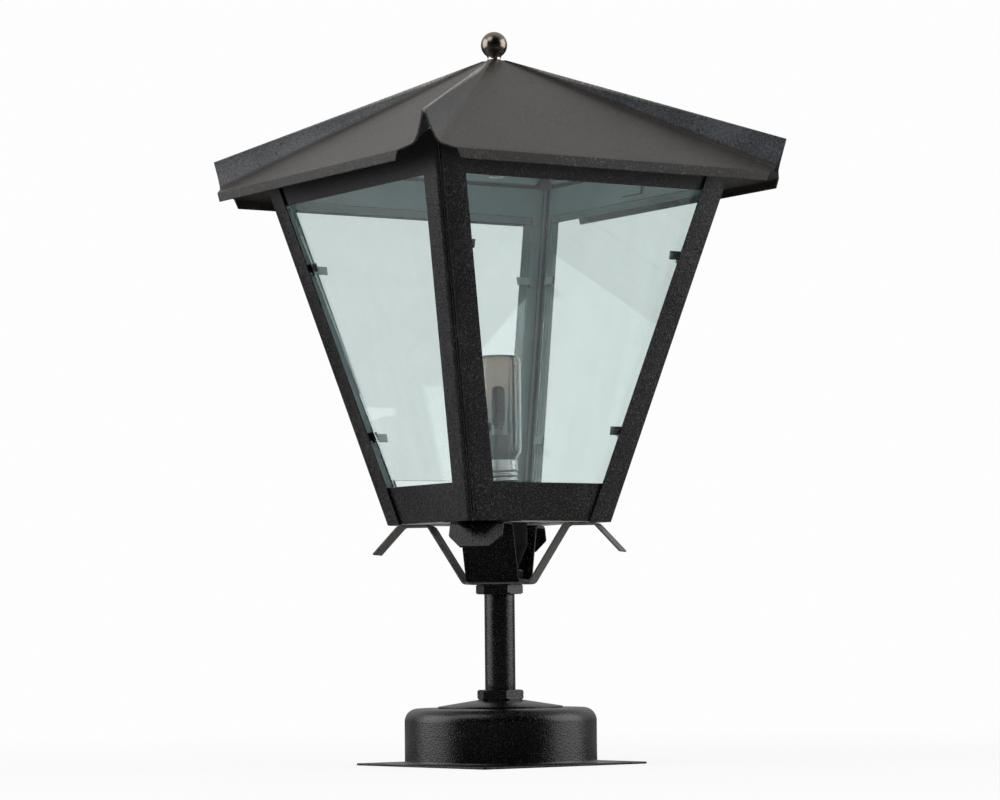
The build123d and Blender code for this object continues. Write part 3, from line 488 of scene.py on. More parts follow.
def leftNormals(path):
    # unit normals to the left of a plane path, the mean of the two runs at each point
    runs = np.diff(path, axis=0)
    runs /= np.linalg.norm(runs, axis=1)[:, None]
    mean = np.concatenate([runs[:1], runs[:-1] + runs[1:], runs[-1:]])
    scale = np.ones(len(path))
    scale[1:-1] = 2 / (mean[1:-1] ** 2).sum(1)
    mean *= scale[:, None]
    return np.stack([-mean[:, 1], mean[:, 0]], 1)


def fullTurn(steps):
    return np.linspace(0, 2 * math.pi, steps, endpoint=False)


def aboutZ(r, a, z):
    # point = (r cos a, r sin a, z)
    return np.stack(np.broadcast_arrays(r * np.cos(a), r * np.sin(a), z), -1)


def latheGrid(profile, steps):
    # each profile point r, z at every angle
    profile = np.asarray(profile, float)
    return aboutZ(profile[:, :1], fullTurn(steps), profile[:, 1:])


def turned(name, grid, nodes, ringed=True, sharp=38):
    # a profile's grid about Z as a piece: the profile is a ring, or it starts and ends on the axis
    return piece(name, grid, gridFaces(*grid.shape[:2], ringed, True), nodes, sharp=sharp)


# Mounting plate and dome, one pressing: turned profile whose rim runs out to a rounded square
plate = {"half": 72.5, "cornerRadius": 1.5, "thick": 1.5, "edge": 0.35, "holeAt": 60.0, "holeRadius": 3.25,
         "turn": math.radians(6.6)}
dome = {"radius": 67.2, "height": 39.5, "wall": 1.5, "shoulder": 9.0, "foot": 2.0, "bore": 10.67}


def squareRim(half, radius, perSide=44):
    # points round a square with rounded corners
    lines = np.linspace(-1, 1, perSide) * (half - radius)
    bend = np.linspace(0, math.pi / 2, 6)[1:-1]
    side = np.stack([np.full(perSide, half), lines], 1)
    arc = np.stack([half - radius + radius * np.cos(bend), half - radius + radius * np.sin(bend)], 1)
    quarter = np.concatenate([side, arc])
    return np.concatenate([quarter @ turn.T for turn in quarterTurns])


def drillHole(shape, spot):
    bpy.ops.mesh.primitive_cylinder_add(
        vertices=40, radius=plate["holeRadius"] * metres, depth=10 * metres, location=(*(spot * metres), 0))
    drill = bpy.context.object
    cut = shape.modifiers.new("hole", "BOOLEAN")
    cut.object = drill
    cut.solver = "EXACT"
    graph = bpy.context.evaluated_depsgraph_get()
    done = bpy.data.meshes.new_from_object(shape.evaluated_get(graph))
    shape.modifiers.clear()
    shape.data = done
    bpy.data.objects.remove(drill)


def basePlate():
    swing = turning(plate["turn"])
    rim = squareRim(plate["half"], plate["cornerRadius"]) @ swing.T
    a = np.arctan2(rim[:, 1], rim[:, 0])
    reach = np.linalg.norm(rim, axis=1)
    wallIn = dome["radius"] - dome["wall"]
    top, thick, edge = dome["height"], plate["thick"], plate["edge"]
    # the last point only leads the foot's bend outwards, and is dropped
    over = roundedPath(
        [(dome["bore"], top), (dome["radius"], top), (dome["radius"], thick), (plate["half"] + 3, thick)],
        [dome["shoulder"], dome["foot"]], 14)[:-1]
    under = roundedPath(
        [(wallIn, 0), (wallIn, top - dome["wall"]), (dome["bore"], top - dome["wall"])],
        [dome["shoulder"] - dome["wall"]], 14)
    share = np.array([0.2, 0.4, 0.6, 0.8, 0.955, 1.0])

    def rings(profile):
        return aboutZ(profile[:, :1], a, profile[:, 1:])

    def rimRings(inner, z, shares, inset=0.0):
        # rings that change from a circle to the rim by the shares
        return aboutZ(inner + (reach - inset - inner) * np.asarray(shares)[:, None], a, z)

    foot = over[-1, 0]
    rows = [
        rings(over), rimRings(foot, thick, share[:-1]), rimRings(foot, thick, [1.0], edge),
        rimRings(foot, thick - edge, [1.0]), rimRings(foot, edge, [1.0]), rimRings(foot, 0.0, [1.0], edge),
        rimRings(wallIn, 0.0, share[::-1][1:]), rings(under),
    ]
    shape = turned("mountingPlate", np.concatenate(rows), ["base_dome"], sharp=30)
    for x in (-1, 1):
        for y in (-1, 1):
            drillHole(shape, swing @ np.array([x, y]) * plate["holeAt"])
    shape.data.set_sharp_from_angle(angle=math.radians(30))


basePlate()
print("lantern: plate and dome")

# Stem, its nuts and the dished washer
stemSize = {"radius": 10.65, "bore": 8.0, "edge": 0.4, "bottom": 30.5, "top": 137.0, "pitch": 1.81, "deep": 0.32,
            "threads": ((44.0, 51.5), (119.5, 137.0))}
nutSize = {"flats": 29.0, "chamfer": 0.9, "steepness": 1.6, "bore": 10.67}
nutTurns = {"dome_locknut": 0.0, "lower_nut": 12.6, "upper_nut": 17.9, "cradle_locknut": 17.9}
washerSize = {"radius": 43.7, "thick": 1.2, "rise": 4.6, "crown": 14.5, "bend": 20.0, "edge": 0.3}


def stemPipe():
    # r = radius, less a thread's saw tooth of z / pitch + a / turn on the threaded runs
    (a0, a1), (b0, b1) = stemSize["threads"]
    bore, edge, low, high = [stemSize[key] for key in ("bore", "edge", "bottom", "top")]
    z = np.concatenate([np.linspace(low + edge, a0 - 0.1, 8), np.linspace(a0, a1, 90),
                        np.linspace(a1 + 1, b0 - 1, 16), np.linspace(b0, b1 - edge, 160)])
    a = fullTurn(72)
    tooth = np.abs(((z[:, None] / stemSize["pitch"] + a / (2 * math.pi)) % 1.0) - 0.5) * 2
    onThread = sum(((z >= start) & (z <= end)).astype(float) for start, end in stemSize["threads"])
    r = stemSize["radius"] - stemSize["deep"] * tooth * onThread[:, None]
    outer = aboutZ(r, a, z[:, None])
    rim = stemSize["radius"] - edge
    ends = latheGrid([(rim, high), (bore + edge, high), (bore, high - edge),
                      (bore, low + edge), (bore + edge, low), (rim, low)], 72)
    turned("stemPipe", np.concatenate([outer, ends]), ["stem"])


def hexNut(node):
    # r = least of the hexagon's flat and the cone that turns its corners, ring by ring
    low, high = levels(node)
    apothem = nutSize["flats"] / 2
    corner = apothem / math.cos(math.pi / 6)
    side = np.linspace(0, math.pi / 3, 14, endpoint=False)
    local = np.concatenate([k * math.pi / 3 + side for k in range(6)])
    hexagon = apothem / np.cos((local % (math.pi / 3)) - math.pi / 6)
    a = local + math.radians(nutTurns[node])
    chamfer, steep = nutSize["chamfer"], nutSize["steepness"]
    steps = np.linspace(0, chamfer, 4)
    z = np.concatenate([[0], steps, (high - low) - steps[::-1], [high - low]])
    cone = corner - chamfer * steep + np.minimum(np.minimum(z, high - low - z), chamfer) * steep
    r = np.minimum(hexagon[None], cone[:, None])
    r[0] = r[-1] = nutSize["bore"]
    turned(node + "Nut", aboutZ(r, a, z[:, None] + low), [node], sharp=24)


def dishedWasher():
    base, rise, thick, bend = dome["height"], washerSize["rise"], washerSize["thick"], washerSize["bend"]
    bore, crown, radius = nutSize["bore"], washerSize["crown"], washerSize["radius"]
    over = roundedPath([(bore, base + rise + thick), (crown, base + rise + thick), (radius, base + thick)], [bend], 8)
    under = roundedPath([(radius, base), (crown, base + rise), (bore, base + rise)], [bend], 8)
    rim = np.array([(radius, base + thick * 0.75), (radius, base + thick * 0.25)])
    over[-1, 0] -= washerSize["edge"]
    under[0, 0] -= washerSize["edge"]
    turned("dishedWasher", latheGrid(np.concatenate([over, rim, under]), 144), ["dished_washer"])


stemPipe()
for nut in nutTurns:
    hexNut(nut)
dishedWasher()
print("lantern: stem and nuts")

# Cradle strip and leaf spring, each path from its floor up the wall, over the shelf and down the flap
strips = {
    "cradle": {"width": 37.5, "thick": 2.0, "chamfer": 8.5, "along": (-diagonal, -diagonal),
               "path": [(21.0, 129.0), (38.0, 168.2), (67.0, 168.2), (76.0, 150.7)], "radii": [5.0, 7.0, 3.0]},
    "spring": {"width": 23.0, "thick": 1.3, "along": (diagonal, -diagonal),
               "path": [(20.8, 127.0), (23.0, 127.0), (48.5, 167.9), (70.5, 167.9), (89.0, 148.1)],
               "radii": [3.0, 5.0, 5.0]},
    "seat": {"half": 20.6, "width": 34.0, "thick": 1.3, "top": 127.0},
}


def bentStrip(name, nodes, path, along, thick, halfWidth, bevel=0.3, columns=9):
    # point = along x + across w + up z, the upper side at the path and the lower one a thickness to its right
    along = np.array([along[0], along[1], 0.0])
    across = np.array([-along[1], along[0], 0.0])
    up = np.array([0.0, 0.0, 1.0])
    lower = path - leftNormals(path) * thick
    w = np.linspace(-1, 1, columns)

    def side(line):
        return (line[:, 0, None, None] * along + line[:, 1, None, None] * up
                + (halfWidth[:, None] * w)[..., None] * across)

    points, faces = sheet(side(path), side(lower))
    return piece(name, points, faces, nodes, bevel=bevel)


def cradleStrip():
    size = strips["cradle"]
    half = size["path"]
    whole = [(-x, z) for x, z in half[::-1]] + half
    path = roundedPath(whole, size["radii"] + size["radii"][::-1], 8)
    runs = np.linalg.norm(np.diff(path, axis=0), axis=1)
    far = np.concatenate([[0], np.cumsum(runs)])
    extra = np.array([size["chamfer"], far[-1] - size["chamfer"]])
    spots = np.sort(np.concatenate([far, extra]))
    path = np.stack([np.interp(spots, far, path[:, 0]), np.interp(spots, far, path[:, 1])], 1)
    room = np.minimum(spots, far[-1] - spots)
    halfWidth = size["width"] / 2 - np.maximum(size["chamfer"] - room, 0)
    bentStrip("cradleStrip", ["cradle"], path, size["along"], size["thick"], halfWidth)


def springArms():
    size = strips["spring"]
    path = roundedPath(size["path"], size["radii"], 8)
    halfWidth = np.full(len(path), size["width"] / 2)
    for side, hand in (("right", 1), ("left", -1)):
        along = (size["along"][0] * hand, size["along"][1] * hand)
        bentStrip(side + "SpringArm", ["spring_arm_" + side], path, along, size["thick"], halfWidth, 0.22)
    seat = strips["seat"]
    a = fullTurn(72) + math.pi / 72
    reach = np.minimum(seat["half"] / np.abs(np.cos(a)), seat["width"] / 2 / np.abs(np.sin(a)))
    r = np.stack([np.full_like(a, nutSize["bore"]), reach])
    top = aboutZ(r, a - math.pi / 4, seat["top"])
    points, faces = sheet(top, top - [0, 0, seat["thick"]], closed=True)
    piece("springSeat", points, faces, ["spring_seat"])


cradleStrip()
springArms()
print("lantern: cradle and spring")

# Head: corner posts, rails, panes
head = {"bottom": 168.2, "bottomHalf": 57.7, "top": 424.6, "slope": 0.254, "flange": 19.6, "groove": 3.2,
        "grooveDeep": 5.0, "folds": (0.9, 0.45, 0.45, 0.9), "sheet": 1.0, "windowLow": 194.2, "windowHigh": 396.4,
        "railEnd": 7.2, "railEdge": 0.15}
paneSize = {"thick": 3.0, "setback": 2.2, "overlap": 5.0, "edge": 0.35, "shortTop": 0.6, "shortFoot": -4.5,
            "shortRaise": 4.4}
lean = math.atan(head["slope"])


def halfAt(z):
    # half the head's width at a height
    return head["bottomHalf"] + head["slope"] * (z - head["bottom"])


def onFace(side, x, z, depth):
    # x along the face, z up it, then in along its normal by the depth
    turn = side * math.pi / 2
    x, z = np.broadcast_arrays(np.asarray(x, float), np.asarray(z, float))
    out = halfAt(z) - depth * math.cos(lean)
    c, s = math.cos(turn), math.sin(turn)
    return np.stack([x * c + out * s, x * s - out * c, z + depth * math.sin(lean)], -1)


def cornerPost(name):
    # folded outline carried up the corner line: (x, y) = sign (half(z) - outline)
    signX, signY = corners[name]
    g, q, f = head["groove"] * diagonal, head["grooveDeep"] * diagonal, head["flange"]
    outline = roundedPath([(f, 0), (g, 0), (g + q, q), (q, g + q), (0, g), (0, f)], head["folds"], 5)
    inward = outline + leftNormals(outline) * head["sheet"]
    z = np.linspace(head["bottom"], head["top"], 25)[:, None]

    def grid(line):
        half = halfAt(z)
        return np.stack([signX * (half - line[:, 0]), signY * (half - line[:, 1]), z + 0 * line[:, 0]], -1)

    points, faces = sheet(grid(outline), grid(inward))
    piece(name + "Post", points, faces, ["post_" + name], bevel=0.18)


def plank(name, nodes, side, cornersXz, depth, thick, bevel, columns=17, rows=9):
    # four corners on a face (low left, low right, high right, high left), filled evenly, then the same again
    # a thickness further in
    low = np.linspace(0, 1, columns)
    up = np.linspace(0, 1, rows)[:, None]
    (x0, z0), (x1, z1), (x2, z2), (x3, z3) = cornersXz
    x = (1 - up) * (x0 + (x1 - x0) * low) + up * (x3 + (x2 - x3) * low)
    z = (1 - up) * (z0 + (z1 - z0) * low) + up * (z3 + (z2 - z3) * low)
    points, faces = sheet(onFace(side, x, z, depth), onFace(side, x, z, depth + thick))
    piece(name, points, faces, nodes, bevel=bevel)


def band(low, high, gap):
    # a face's corners between two heights, each side short of the head's edge by the gap
    a, b = halfAt(low) - gap, halfAt(high) - gap
    return [(-a, low), (a, low), (b, high), (-b, high)]


def headFrame():
    for name in corners:
        cornerPost(name)
    sheetIn, end, edge = head["sheet"], head["railEnd"], head["railEdge"]
    lowBand, highBand = band(head["bottom"], head["windowLow"], end), band(head["windowHigh"], head["top"], end)
    for name, side in sides.items():
        plank(name + "BottomRail", ["bottom_rail_" + name], side, lowBand, sheetIn, sheetIn, edge)
        plank(name + "TopRail", ["top_rail_" + name], side, highBand, sheetIn, sheetIn, edge)


def glazing():
    low, high = head["windowLow"] - paneSize["overlap"], head["windowHigh"] + paneSize["overlap"]
    whole = band(low, high, head["flange"] - paneSize["overlap"])
    # the left pane is cut short: its foot slants up towards the corner
    footX = -(halfAt(head["windowLow"]) - head["flange"] + paneSize["shortFoot"])
    foot = (footX, head["windowLow"] + paneSize["shortRaise"])
    topX = -(halfAt(high) - head["flange"] + paneSize["shortTop"])
    short = [foot, (whole[1][0], head["windowLow"]), whole[2], (topX, high)]
    for name, side in sides.items():
        outline = short if name == "left" else whole
        plank(name + "Pane", ["pane_" + name], side, outline, paneSize["setback"], paneSize["thick"], paneSize["edge"])


rivetSize = {"radius": 2.3, "height": 0.55, "sunk": 0.15, "inFromCorner": 13.6, "rows": (175.6, 403.0),
             "clipRows": (230.0, 351.0), "clipIn": 10.4}


def paintedRivets():
    # low domes under the coat, one at each end of each rail and one over each clip's foot:
    # height falls as the square root of 1 - (r / radius) squared, on the leaning face
    size = rivetSize
    r, a = np.meshgrid(np.linspace(1, 0, 6), fullTurn(20), indexing="ij")
    rise = size["height"] * np.sqrt(1 - r ** 2)
    skirted = np.concatenate([r[-1:], r[:1], r])
    rise = np.concatenate([rise[:1] - size["sunk"], rise[:1] - size["sunk"], rise])
    a = np.concatenate([a[:1], a[:1], a])
    parts = []
    for side in sides.values():
        for z in size["rows"] + size["clipRows"]:
            inset = size["inFromCorner"] if z in size["rows"] else size["clipIn"]
            for hand in (-1, 1):
                x = hand * (halfAt(z) - inset) + size["radius"] * skirted * np.cos(a)
                dot = onFace(side, x, z + size["radius"] * skirted * np.sin(a) * math.cos(lean), -rise)
                parts.append((dot.reshape(-1, 3), gridFaces(*a.shape, False, True)))
    piece("paintedRivets", *joined(parts), ["frame_rivets"], sharp=80)


# painted shadow lines at the flanges' edges: width, how far proud and sunk, and the gaps at their ends
flangeShadowSize = {"width": 0.45, "proud": 0.03, "sunk": 0.1, "outerGap": 0.4, "windowGap": 0.2}


def jointLines():
    # painted shadow: a black strip along the edge of each post's flange, for the shadow in the gap between the flange
    # and the rail behind it
    outer, inner = flangeShadowSize["outerGap"], flangeShadowSize["windowGap"]
    runs = ((head["bottom"] + outer, head["windowLow"] - inner), (head["windowHigh"] + inner, head["top"] - outer))
    parts = []
    for side in sides.values():
        for low, high in runs:
            for hand in (-1, 1):
                z = np.linspace(low, high, 12)[:, None]
                x = halfAt(z) - head["flange"] - np.array([0.0, 0.33, 0.67, 1.0]) * flangeShadowSize["width"]
                over = onFace(side, hand * x, z, head["sheet"] - flangeShadowSize["proud"])
                parts.append(sheet(over, onFace(side, hand * x, z, head["sheet"] + flangeShadowSize["sunk"])))
    shape = surface("jointLines", *joined(parts), finishes["leadSheath"])
    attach(shape, "base")


headFrame()
glazing()
paintedRivets()
jointLines()
print("lantern: head and glass")


def roofSheet():
    # one cone of lines from the apex, over a plan whose corners are standing seams
    size = roofSize
    apex, slope, half = size["apex"], size["slope"], size["half"]
    edge = apex - slope * half
    sectionR = half * math.sqrt(2) - size["sectionIn"]
    cutR = half * math.sqrt(2) - size["cutIn"]
    flatY = cutR * math.sqrt(2) - half  # where the corner cut meets the eave

    def seamSection(wall, drop):
        # half the seam across the hip: round crest, straight side, then a curve that runs out into the face
        hip = apex - drop - slope * sectionR * diagonal
        tip, foot = size["tipWidth"] - wall, size["footWidth"] - wall
        throat = size["throatWidth"] - wall * 0.8
        tipZ = hip + size["tipHeight"] - wall * 0.5
        a = np.linspace(0, math.pi / 2, 6)[:-1]
        crest = np.stack([tip * np.sin(a), tipZ + tip * np.cos(a) - tip], 1)
        t = np.linspace(0, 1, 18)[:, None]
        start = np.array((tip, tipZ - tip))
        middle, end = [np.array((w, hip - slope * w * diagonal)) for w in (throat, foot)]
        side = (1 - t) ** 2 * start + 2 * t * (1 - t) * middle + t ** 2 * end
        return np.concatenate([crest, side])

    def planRays(wall, drop):
        # rays from the apex, one corner's seam then one face, turned four times, and which of them end in a skirt
        section = seamSection(wall, drop)
        w = np.concatenate([-section[::-1, 0], section[1:, 0]])
        z = np.concatenate([section[::-1, 1], section[1:, 1]])
        seam = np.stack([(sectionR - w) * diagonal, (sectionR + w) * diagonal, z - (apex - drop)], 1)
        foot = seam[-1] * (half / seam[-1][1])
        reach = np.concatenate([
            np.linspace(foot[0], flatY, 4)[1:], [flatY], np.linspace(flatY, -flatY, 30)[1:-1], [-flatY],
            np.linspace(-flatY, -foot[0], 4)[:-1]])
        face = np.stack([reach, np.full_like(reach, half), np.full_like(reach, -slope * half)], 1)
        quarter = np.concatenate([seam, face])
        hasSkirt = np.zeros(len(quarter), bool)
        hasSkirt[len(seam) + 3:-3] = True
        rays = np.concatenate([np.concatenate([quarter[:, :2] @ t.T, quarter[:, 2:]], 1) for t in quarterTurns])
        return rays, np.tile(hasSkirt, 4)

    outRays, skirted = planRays(0.0, 0.0)
    inRays, _ = planRays(size["wall"], size["drop"])

    def stops(rays, drop, halfSide):
        # scale at which a ray meets the corner cut or the eave, whichever is nearer
        diag = (np.abs(rays[:, 0]) + np.abs(rays[:, 1])) * diagonal
        cut = (cutR + size["cutLean"] * (apex - drop - edge)) / (diag - size["cutLean"] * rays[:, 2])
        return np.minimum(cut, halfSide / np.abs(rays[:, :2]).max(1))

    def fan(rays, drop, lowZ, scale, steps=34):
        # rows from the flat on top down to each ray's stop, closer together near the top
        first = (apex - drop - lowZ) / -rays[:, 2]
        t = np.linspace(0, 1, steps)[:, None] ** 1.3
        s = first + (scale - first) * t
        return np.array([0, 0, apex - drop]) + s[..., None] * rays

    bendTurn = math.pi / 2 - math.atan(slope)
    reach = size["bend"] * math.tan(bendTurn / 2)
    outStop = stops(outRays, 0.0, half)
    shortened = outStop - skirted * reach / np.linalg.norm(outRays, axis=1)
    outer = fan(outRays, 0.0, apex - size["flat"], shortened)
    innerStop = stops(inRays, size["drop"], half - size["sheet"])
    inner = fan(inRays, size["drop"], apex - size["flatUnder"], innerStop)
    # the skirt: an arc round the eave, down the outside, back up the inside
    outEdge = np.array([0, 0, apex]) + outStop[:, None] * outRays
    bottom = edge - size["skirt"]
    flatRays = np.abs(outRays[:, :2])
    outward = np.sign(outRays[:, :2]) * (flatRays >= flatRays.max(1, keepdims=True))
    along = outEdge[:, :2] - outward * half
    rows = []
    for t in np.linspace(0, 1, 6)[1:]:
        angle = math.atan(slope) + bendTurn * t
        rows.append((half + size["bend"] * (math.sin(angle) - 1), edge - reach + size["bend"] * math.cos(angle)))
    hem, inside = size["hem"], half - size["sheet"]
    rows += [(half, bottom + hem), (half - hem, bottom), (inside + hem, bottom), (inside, bottom + hem),
             (inside, bottom + size["skirtInside"])]
    rim = inner[-1]
    skirtRows = []
    for x, z in rows:
        lower = (edge - z) / size["skirt"]
        narrow = 1 - np.clip(lower, 0, 1) * size["cutLean"] * size["skirt"] * math.sqrt(2) / flatY
        row = np.concatenate([outward * x + along * narrow, np.full((len(along), 1), z)], 1)
        skirtRows.append(np.where(skirted[:, None], row, outer[-1] if x > half - 0.5 else rim))
    grid = np.concatenate([outer, np.array(skirtRows), inner[::-1]])
    # flat on top with its hole
    around = np.arctan2(outRays[:, 1], outRays[:, 0])[None]
    topRing, lowRing = [aboutZ(size["hole"], around, apex - size[key]) for key in ("flat", "flatUnder")]
    turned("roofSheet", np.concatenate([topRing, grid, lowRing]), ["roof"], sharp=32)


roofSheet()
print("lantern: roof")

# Finial
ballSize = {"radius": 9.4, "bore": 3.05, "boreDeep": 8.8, "boreEdge": 0.2}
neckSize = {"radius": 5.3, "waist": 0.7, "bore": 3.1}


def finial():
    low, high = levels("finial_ball")
    r = ballSize["radius"]
    centre = high - r
    start = math.asin((low - centre) / r)
    t = np.linspace(start, math.pi / 2, 40)
    ball = np.stack([r * np.cos(t), centre + r * np.sin(t)], 1)
    ball[-1, 0] = 0.0
    wide, deep, edge = ballSize["bore"], ballSize["boreDeep"], ballSize["boreEdge"]
    bore = np.array([(0.0, low + deep), (wide, low + deep), (wide, low + edge), (wide + edge, low)])
    turned("finialBall", latheGrid(np.concatenate([bore, ball]), 96), ["finial_ball"], ringed=False)
    low, high = levels("finial_collar")
    middle = (low + high) / 2
    t = np.linspace(-1, 1, 15)
    waist = np.stack([neckSize["radius"] - neckSize["waist"] * (1 - t ** 2), middle + t * (high - low) / 2], 1)
    profile = np.concatenate([[(neckSize["bore"], low)], waist, [(neckSize["bore"], high)]])
    turned("finialNeck", latheGrid(profile, 72), ["finial_collar"])


finial()
print("lantern: finial")

# Lampholder and lamp
tube = {"radius": 16.0, "wall": 1.0, "top": 286.6, "neck": 12.4, "neckLow": 206.0, "neckHigh": 213.5,
        "shoulder": 219.0, "edge": 4.0, "mouth": 7.0, "rounds": [0.6, 2.5, 3.0], "roundsInside": [3.0, 2.5, 0.5]}
cap = {"radius": 13.2, "bore": 12.3, "foot": 12.9, "low": 187.0, "high": 213.0, "edge": 0.4, "pitch": 3.63,
       "deep": 0.75, "thread": (189.0, 207.0), "fade": 2.0, "crimpFrom": 209.0, "crimp": 0.25}


def lampGlass():
    s, wall = tube, tube["wall"]
    low, high, radius, neck = s["neckLow"], s["top"], s["radius"], s["neck"]
    over = roundedPath(
        [(s["mouth"], low), (neck, low), (neck, s["neckHigh"]), (radius, s["shoulder"]), (radius, high), (0.0, high)],
        s["rounds"] + [s["edge"]], 8)
    inside = roundedPath(
        [(0.0, high - wall), (radius - wall, high - wall), (radius - wall, s["shoulder"] + 0.5),
         (neck - wall, s["neckHigh"] + 0.5), (neck - wall, low + wall), (s["mouth"], low + wall)],
        [s["edge"] - wall] + s["roundsInside"], 8)
    turned("lampTube", latheGrid(np.concatenate([over, inside]), 96), ["bulb_glass"])


def lampCap():
    # r = radius less a rounded thread, half a wave per turn and pitch
    s, (start, end) = cap, cap["thread"]
    z = np.linspace(s["low"] + s["edge"], s["high"], 110)
    a = fullTurn(96)
    wave = 0.5 - 0.5 * np.cos(2 * math.pi * (z[:, None] / s["pitch"]) - a)
    threaded = np.clip((z - start) / s["fade"], 0, 1) * np.clip((end - z) / s["fade"], 0, 1)
    r = s["radius"] - s["deep"] * wave * threaded[:, None] - np.where(z > s["crimpFrom"], s["crimp"], 0.0)[:, None]
    outer = aboutZ(r, a, z[:, None])
    inside = latheGrid([(s["bore"], s["high"]), (s["bore"], s["low"]), (s["foot"], s["low"])], 96)
    turned("lampCap", np.concatenate([outer, inside]), ["bulb_cap"], sharp=50)


lampParts = {"capsule": 4.7, "capsuleLow": 237.5, "capsuleHigh": 265.5, "mount": 6.8, "mountLow": 206.5,
             "ring": 6.0, "ringLow": 231.0, "ringHigh": 235.0, "ringReach": 0.4, "stalk": 3.0,
             "rounds": [0.8, 3.8], "mountRounds": [0.8, 0.4, 0.2, 0.9, 0.3, 0.3]}


def lampInside():
    # the capsule on its stalk, and the mount whose ring has a finish of its own
    s = lampParts
    low, high, stalkTop = s["ringLow"], s["ringHigh"], s["capsuleLow"]
    capsule = roundedPath(
        [(0.0, stalkTop), (s["capsule"], stalkTop), (s["capsule"], s["capsuleHigh"]), (0.0, s["capsuleHigh"])],
        s["rounds"], 8)
    turned("lampCapsule", latheGrid(capsule, 64), ["bulb_capsule"], ringed=False)
    mount = roundedPath(
        [(0.0, s["mountLow"]), (s["mount"], s["mountLow"]), (s["mount"], low), (s["ring"], low), (s["ring"], high),
         (s["stalk"], high), (s["stalk"], stalkTop), (0.0, stalkTop)],
        s["mountRounds"], 4)
    shape = turned("lampMount", latheGrid(mount, 64), ["bulb_mount"], ringed=False)
    shape.data.materials.append(finishes["brightNickel"])
    heights = np.array([face.center.z for face in shape.data.polygons]) / metres
    ring = (heights > low - s["ringReach"]) & (heights < high + s["ringReach"])
    shape.data.polygons.foreach_set("material_index", ring.astype(np.int32))


holder = {"radius": 20.0, "seat": 5.02, "low": 140.0, "footRadius": 14.5, "waist": 153.0, "high": 197.0,
          "mouth": 14.3, "shelf": 176.0, "bore": 2.02, "shelfLow": 171.0, "roomRadius": 15.0, "roomLow": 151.0,
          "flutes": 24, "fluteDeep": 0.22, "fluteFrom": 158.0, "fluteTo": 190.0, "rounds": [1.2, 4.0, 1.5]}


def holderBody():
    # ribbed grip: r = radius less a shallow flute round the waist of the holder
    s = holder
    over = roundedPath(
        [(s["seat"], s["low"]), (s["footRadius"], s["low"]), (s["radius"], s["waist"]), (s["radius"], s["high"]),
         (s["mouth"], s["high"])], s["rounds"], 8)
    inside = np.array([
        (s["mouth"], s["shelf"]), (s["bore"], s["shelf"]), (s["bore"], s["shelfLow"]),
        (s["roomRadius"], s["shelfLow"]), (s["roomRadius"], s["roomLow"]), (s["seat"], s["roomLow"])])
    grid = latheGrid(np.concatenate([over, inside]), 144)
    a = np.arctan2(grid[..., 1], grid[..., 0])
    r = np.linalg.norm(grid[..., :2], axis=-1)
    z = grid[..., 2]
    grip = (r > s["radius"] - 0.5) * (z > s["fluteFrom"]) * (z < s["fluteTo"])
    flutes = s["fluteDeep"] * (0.5 - 0.5 * np.cos(s["flutes"] * a)) * grip
    grid[..., :2] *= ((r - flutes) / r)[..., None]
    turned("holderBody", grid, ["lampholder_body"])


lampGlass()
lampCap()
lampInside()
holderBody()
print("lantern: lamp")

# Floor, light, camera
studio = {"floor": 30.0, "plain": 0.86, "white": 0.985, "fill": 0.50, "horizon": 0.26, "above": 0.62,
          "pool": (0.40, 0.05), "poolEnds": (1.15, 0.66), "poolStarts": (0.22, 0.46), "front": (-0.5317, -0.8469, 0.0),
          "behind": (0.6, -0.25), "rise": (0.0, 0.5), "shade": (0.15, 1.1), "shadeShare": 0.12}
lamps = table(("at", "size", "power"), {
    "leftPanel": ((-1.90, 1.10, 0.75), (2.0, 2.4), 34.0),
    "rightPanel": ((1.82, -1.23, 0.75), (2.0, 2.4), 34.0),
    "topPanel": ((-1.47, -0.2, 2.06), (1.3, 1.3), 9.0),
})
aim = (0.0, 0.0, 0.3)
camera = {"distance": 2500.0, "height": 85.09, "turn": -32.12, "pan": 0.0007, "tilt": 0.0680, "roll": -0.0099,
          "focal": 3560.3, "pixels": 1000, "sensor": 36.0}


def studioFloor():
    # a square of floor that the camera sees as white as the sky, but for the object's shadow close by, and that glossy
    # surfaces see as a painted pool of light round the object on dark ground, with painted shadow close under the
    # object
    half = studio["floor"]
    grid = np.stack(np.meshgrid([-half, half], [-half, half], indexing="ij") + [np.zeros((2, 2))], -1)
    mesh = bpy.data.meshes.new("studioFloor")
    mesh.from_pydata(grid.reshape(-1, 3).tolist(), [], [(0, 2, 3, 1)])
    f = Finish("studioFloor")
    direct, glossy, through = f.rays()
    far = f.measure("LENGTH", f.place())
    lit = f.between(far, *studio["poolEnds"]) * f.between(far, *studio["poolStarts"])
    brightest, darkest = studio["pool"]
    pool = f.blend(lit, grey(darkest), grey(brightest))
    plain = f.add("ShaderNodeBsdfDiffuse", None, {"Color": f.blend(glossy, grey(studio["plain"]), pool)})
    lifted = f.add("ShaderNodeEmission", None, {"Color": grey(studio["white"]), "Strength": 1.0})
    white = f.between(far, *studio["shade"]) * studio["shadeShare"] + (1 - studio["shadeShare"])
    seen = f.sum("MAXIMUM", direct, through)
    mesh.materials.append(f.close(f.add("ShaderNodeMixShader", None, {0: seen * white, 1: plain, 2: lifted})))
    placed("studioFloor", mesh)


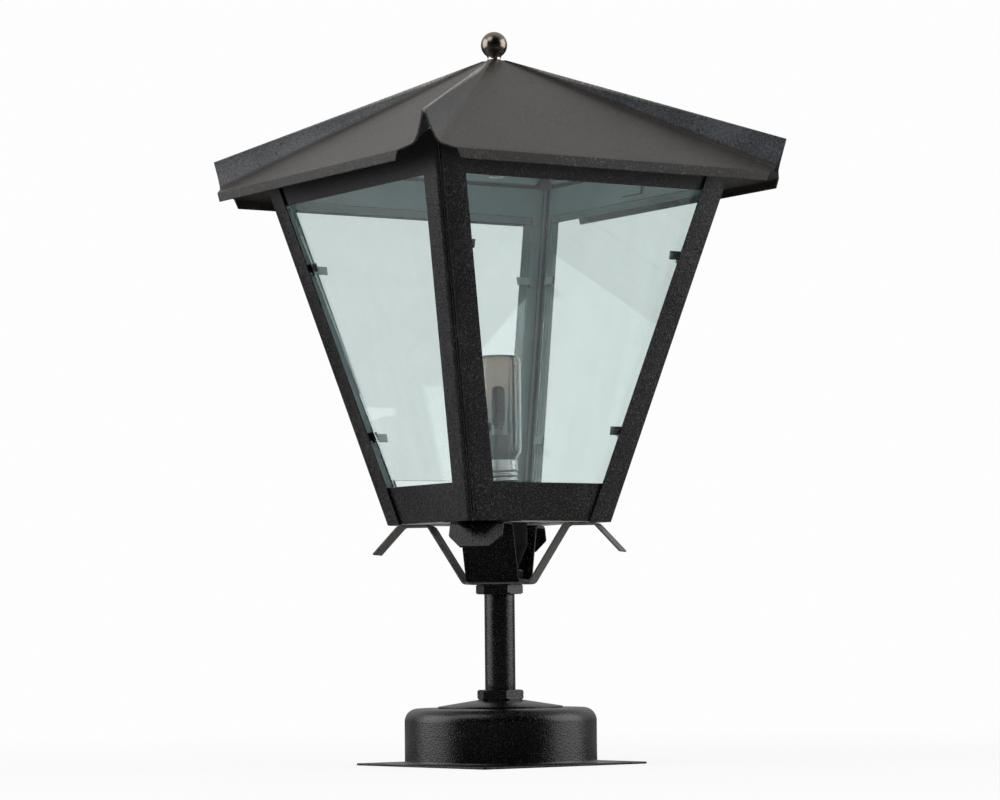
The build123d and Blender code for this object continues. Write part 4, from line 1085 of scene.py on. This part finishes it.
def studioSky():
    # white to the camera and through glass, dark in front of the object and pale behind it in reflections
    world = bpy.data.worlds.new("studioSky")
    world.use_nodes = True
    bpy.context.scene.world = world
    f = Finish("studioSky", world.node_tree)
    direct, glossy, through = f.rays()
    look = f.add("ShaderNodeTexCoord", out=0)
    facing = f.measure("DOT_PRODUCT", look, studio["front"])
    high = f.between(f.axis(look, 2), *studio["rise"])
    tone = high * (studio["above"] - studio["horizon"]) + studio["horizon"]
    mirrored = f.between(facing, *studio["behind"]) * tone
    seen = f.sum("MAXIMUM", direct, through)
    unseen = glossy * mirrored + (1 - glossy) * studio["fill"]
    strength = seen * studio["white"] + (1 - seen) * unseen
    glow = f.add("ShaderNodeBackground", None, {"Color": (1, 1, 1, 1), "Strength": strength})
    f.add("ShaderNodeOutputWorld", None, {"Surface": glow})


def setPose(thing, place, across, up, back):
    rows = [[across[k], up[k], back[k], place[k]] for k in range(3)] + [[0, 0, 0, 1]]
    thing.matrix_world = Matrix([[float(v) for v in row] for row in rows])


def softPanels():
    for name, size in lamps.items():
        data = bpy.data.lights.new(name, "AREA")
        data.shape = "RECTANGLE"
        data.size, data.size_y = size["size"]
        data.energy = size["power"]
        place = np.array(size["at"])
        back = unit(place - aim)
        across = unit(np.cross([0, 0, 1.0], back))
        setPose(placed(name, data), place, across, np.cross(back, across), back)


def photoCamera():
    c = camera
    swing = np.eye(3)
    swing[:2, :2] = turning(math.radians(c["turn"]))
    pan, tilt, roll = c["pan"], c["tilt"], c["roll"]
    ahead = np.array([math.sin(pan) * math.cos(tilt), math.cos(pan) * math.cos(tilt), math.sin(tilt)])
    right = np.array([math.cos(pan), -math.sin(pan), 0])
    up = np.cross(right, ahead)
    across = math.cos(roll) * right + math.sin(roll) * up
    rise = -math.sin(roll) * right + math.cos(roll) * up
    data = bpy.data.cameras.new("photoCamera")
    data.sensor_width = c["sensor"]
    data.lens = c["focal"] * c["sensor"] / c["pixels"]
    data.clip_end = 100
    view = placed("photoCamera", data)
    place = swing @ np.array([0, -c["distance"], c["height"]]) * metres
    setPose(view, place, swing @ across, swing @ rise, swing @ -ahead)
    bpy.context.scene.camera = view


studioFloor()
studioSky()
softPanels()
photoCamera()
bpy.context.scene.view_settings.view_transform = "Standard"
print("lantern: studio")
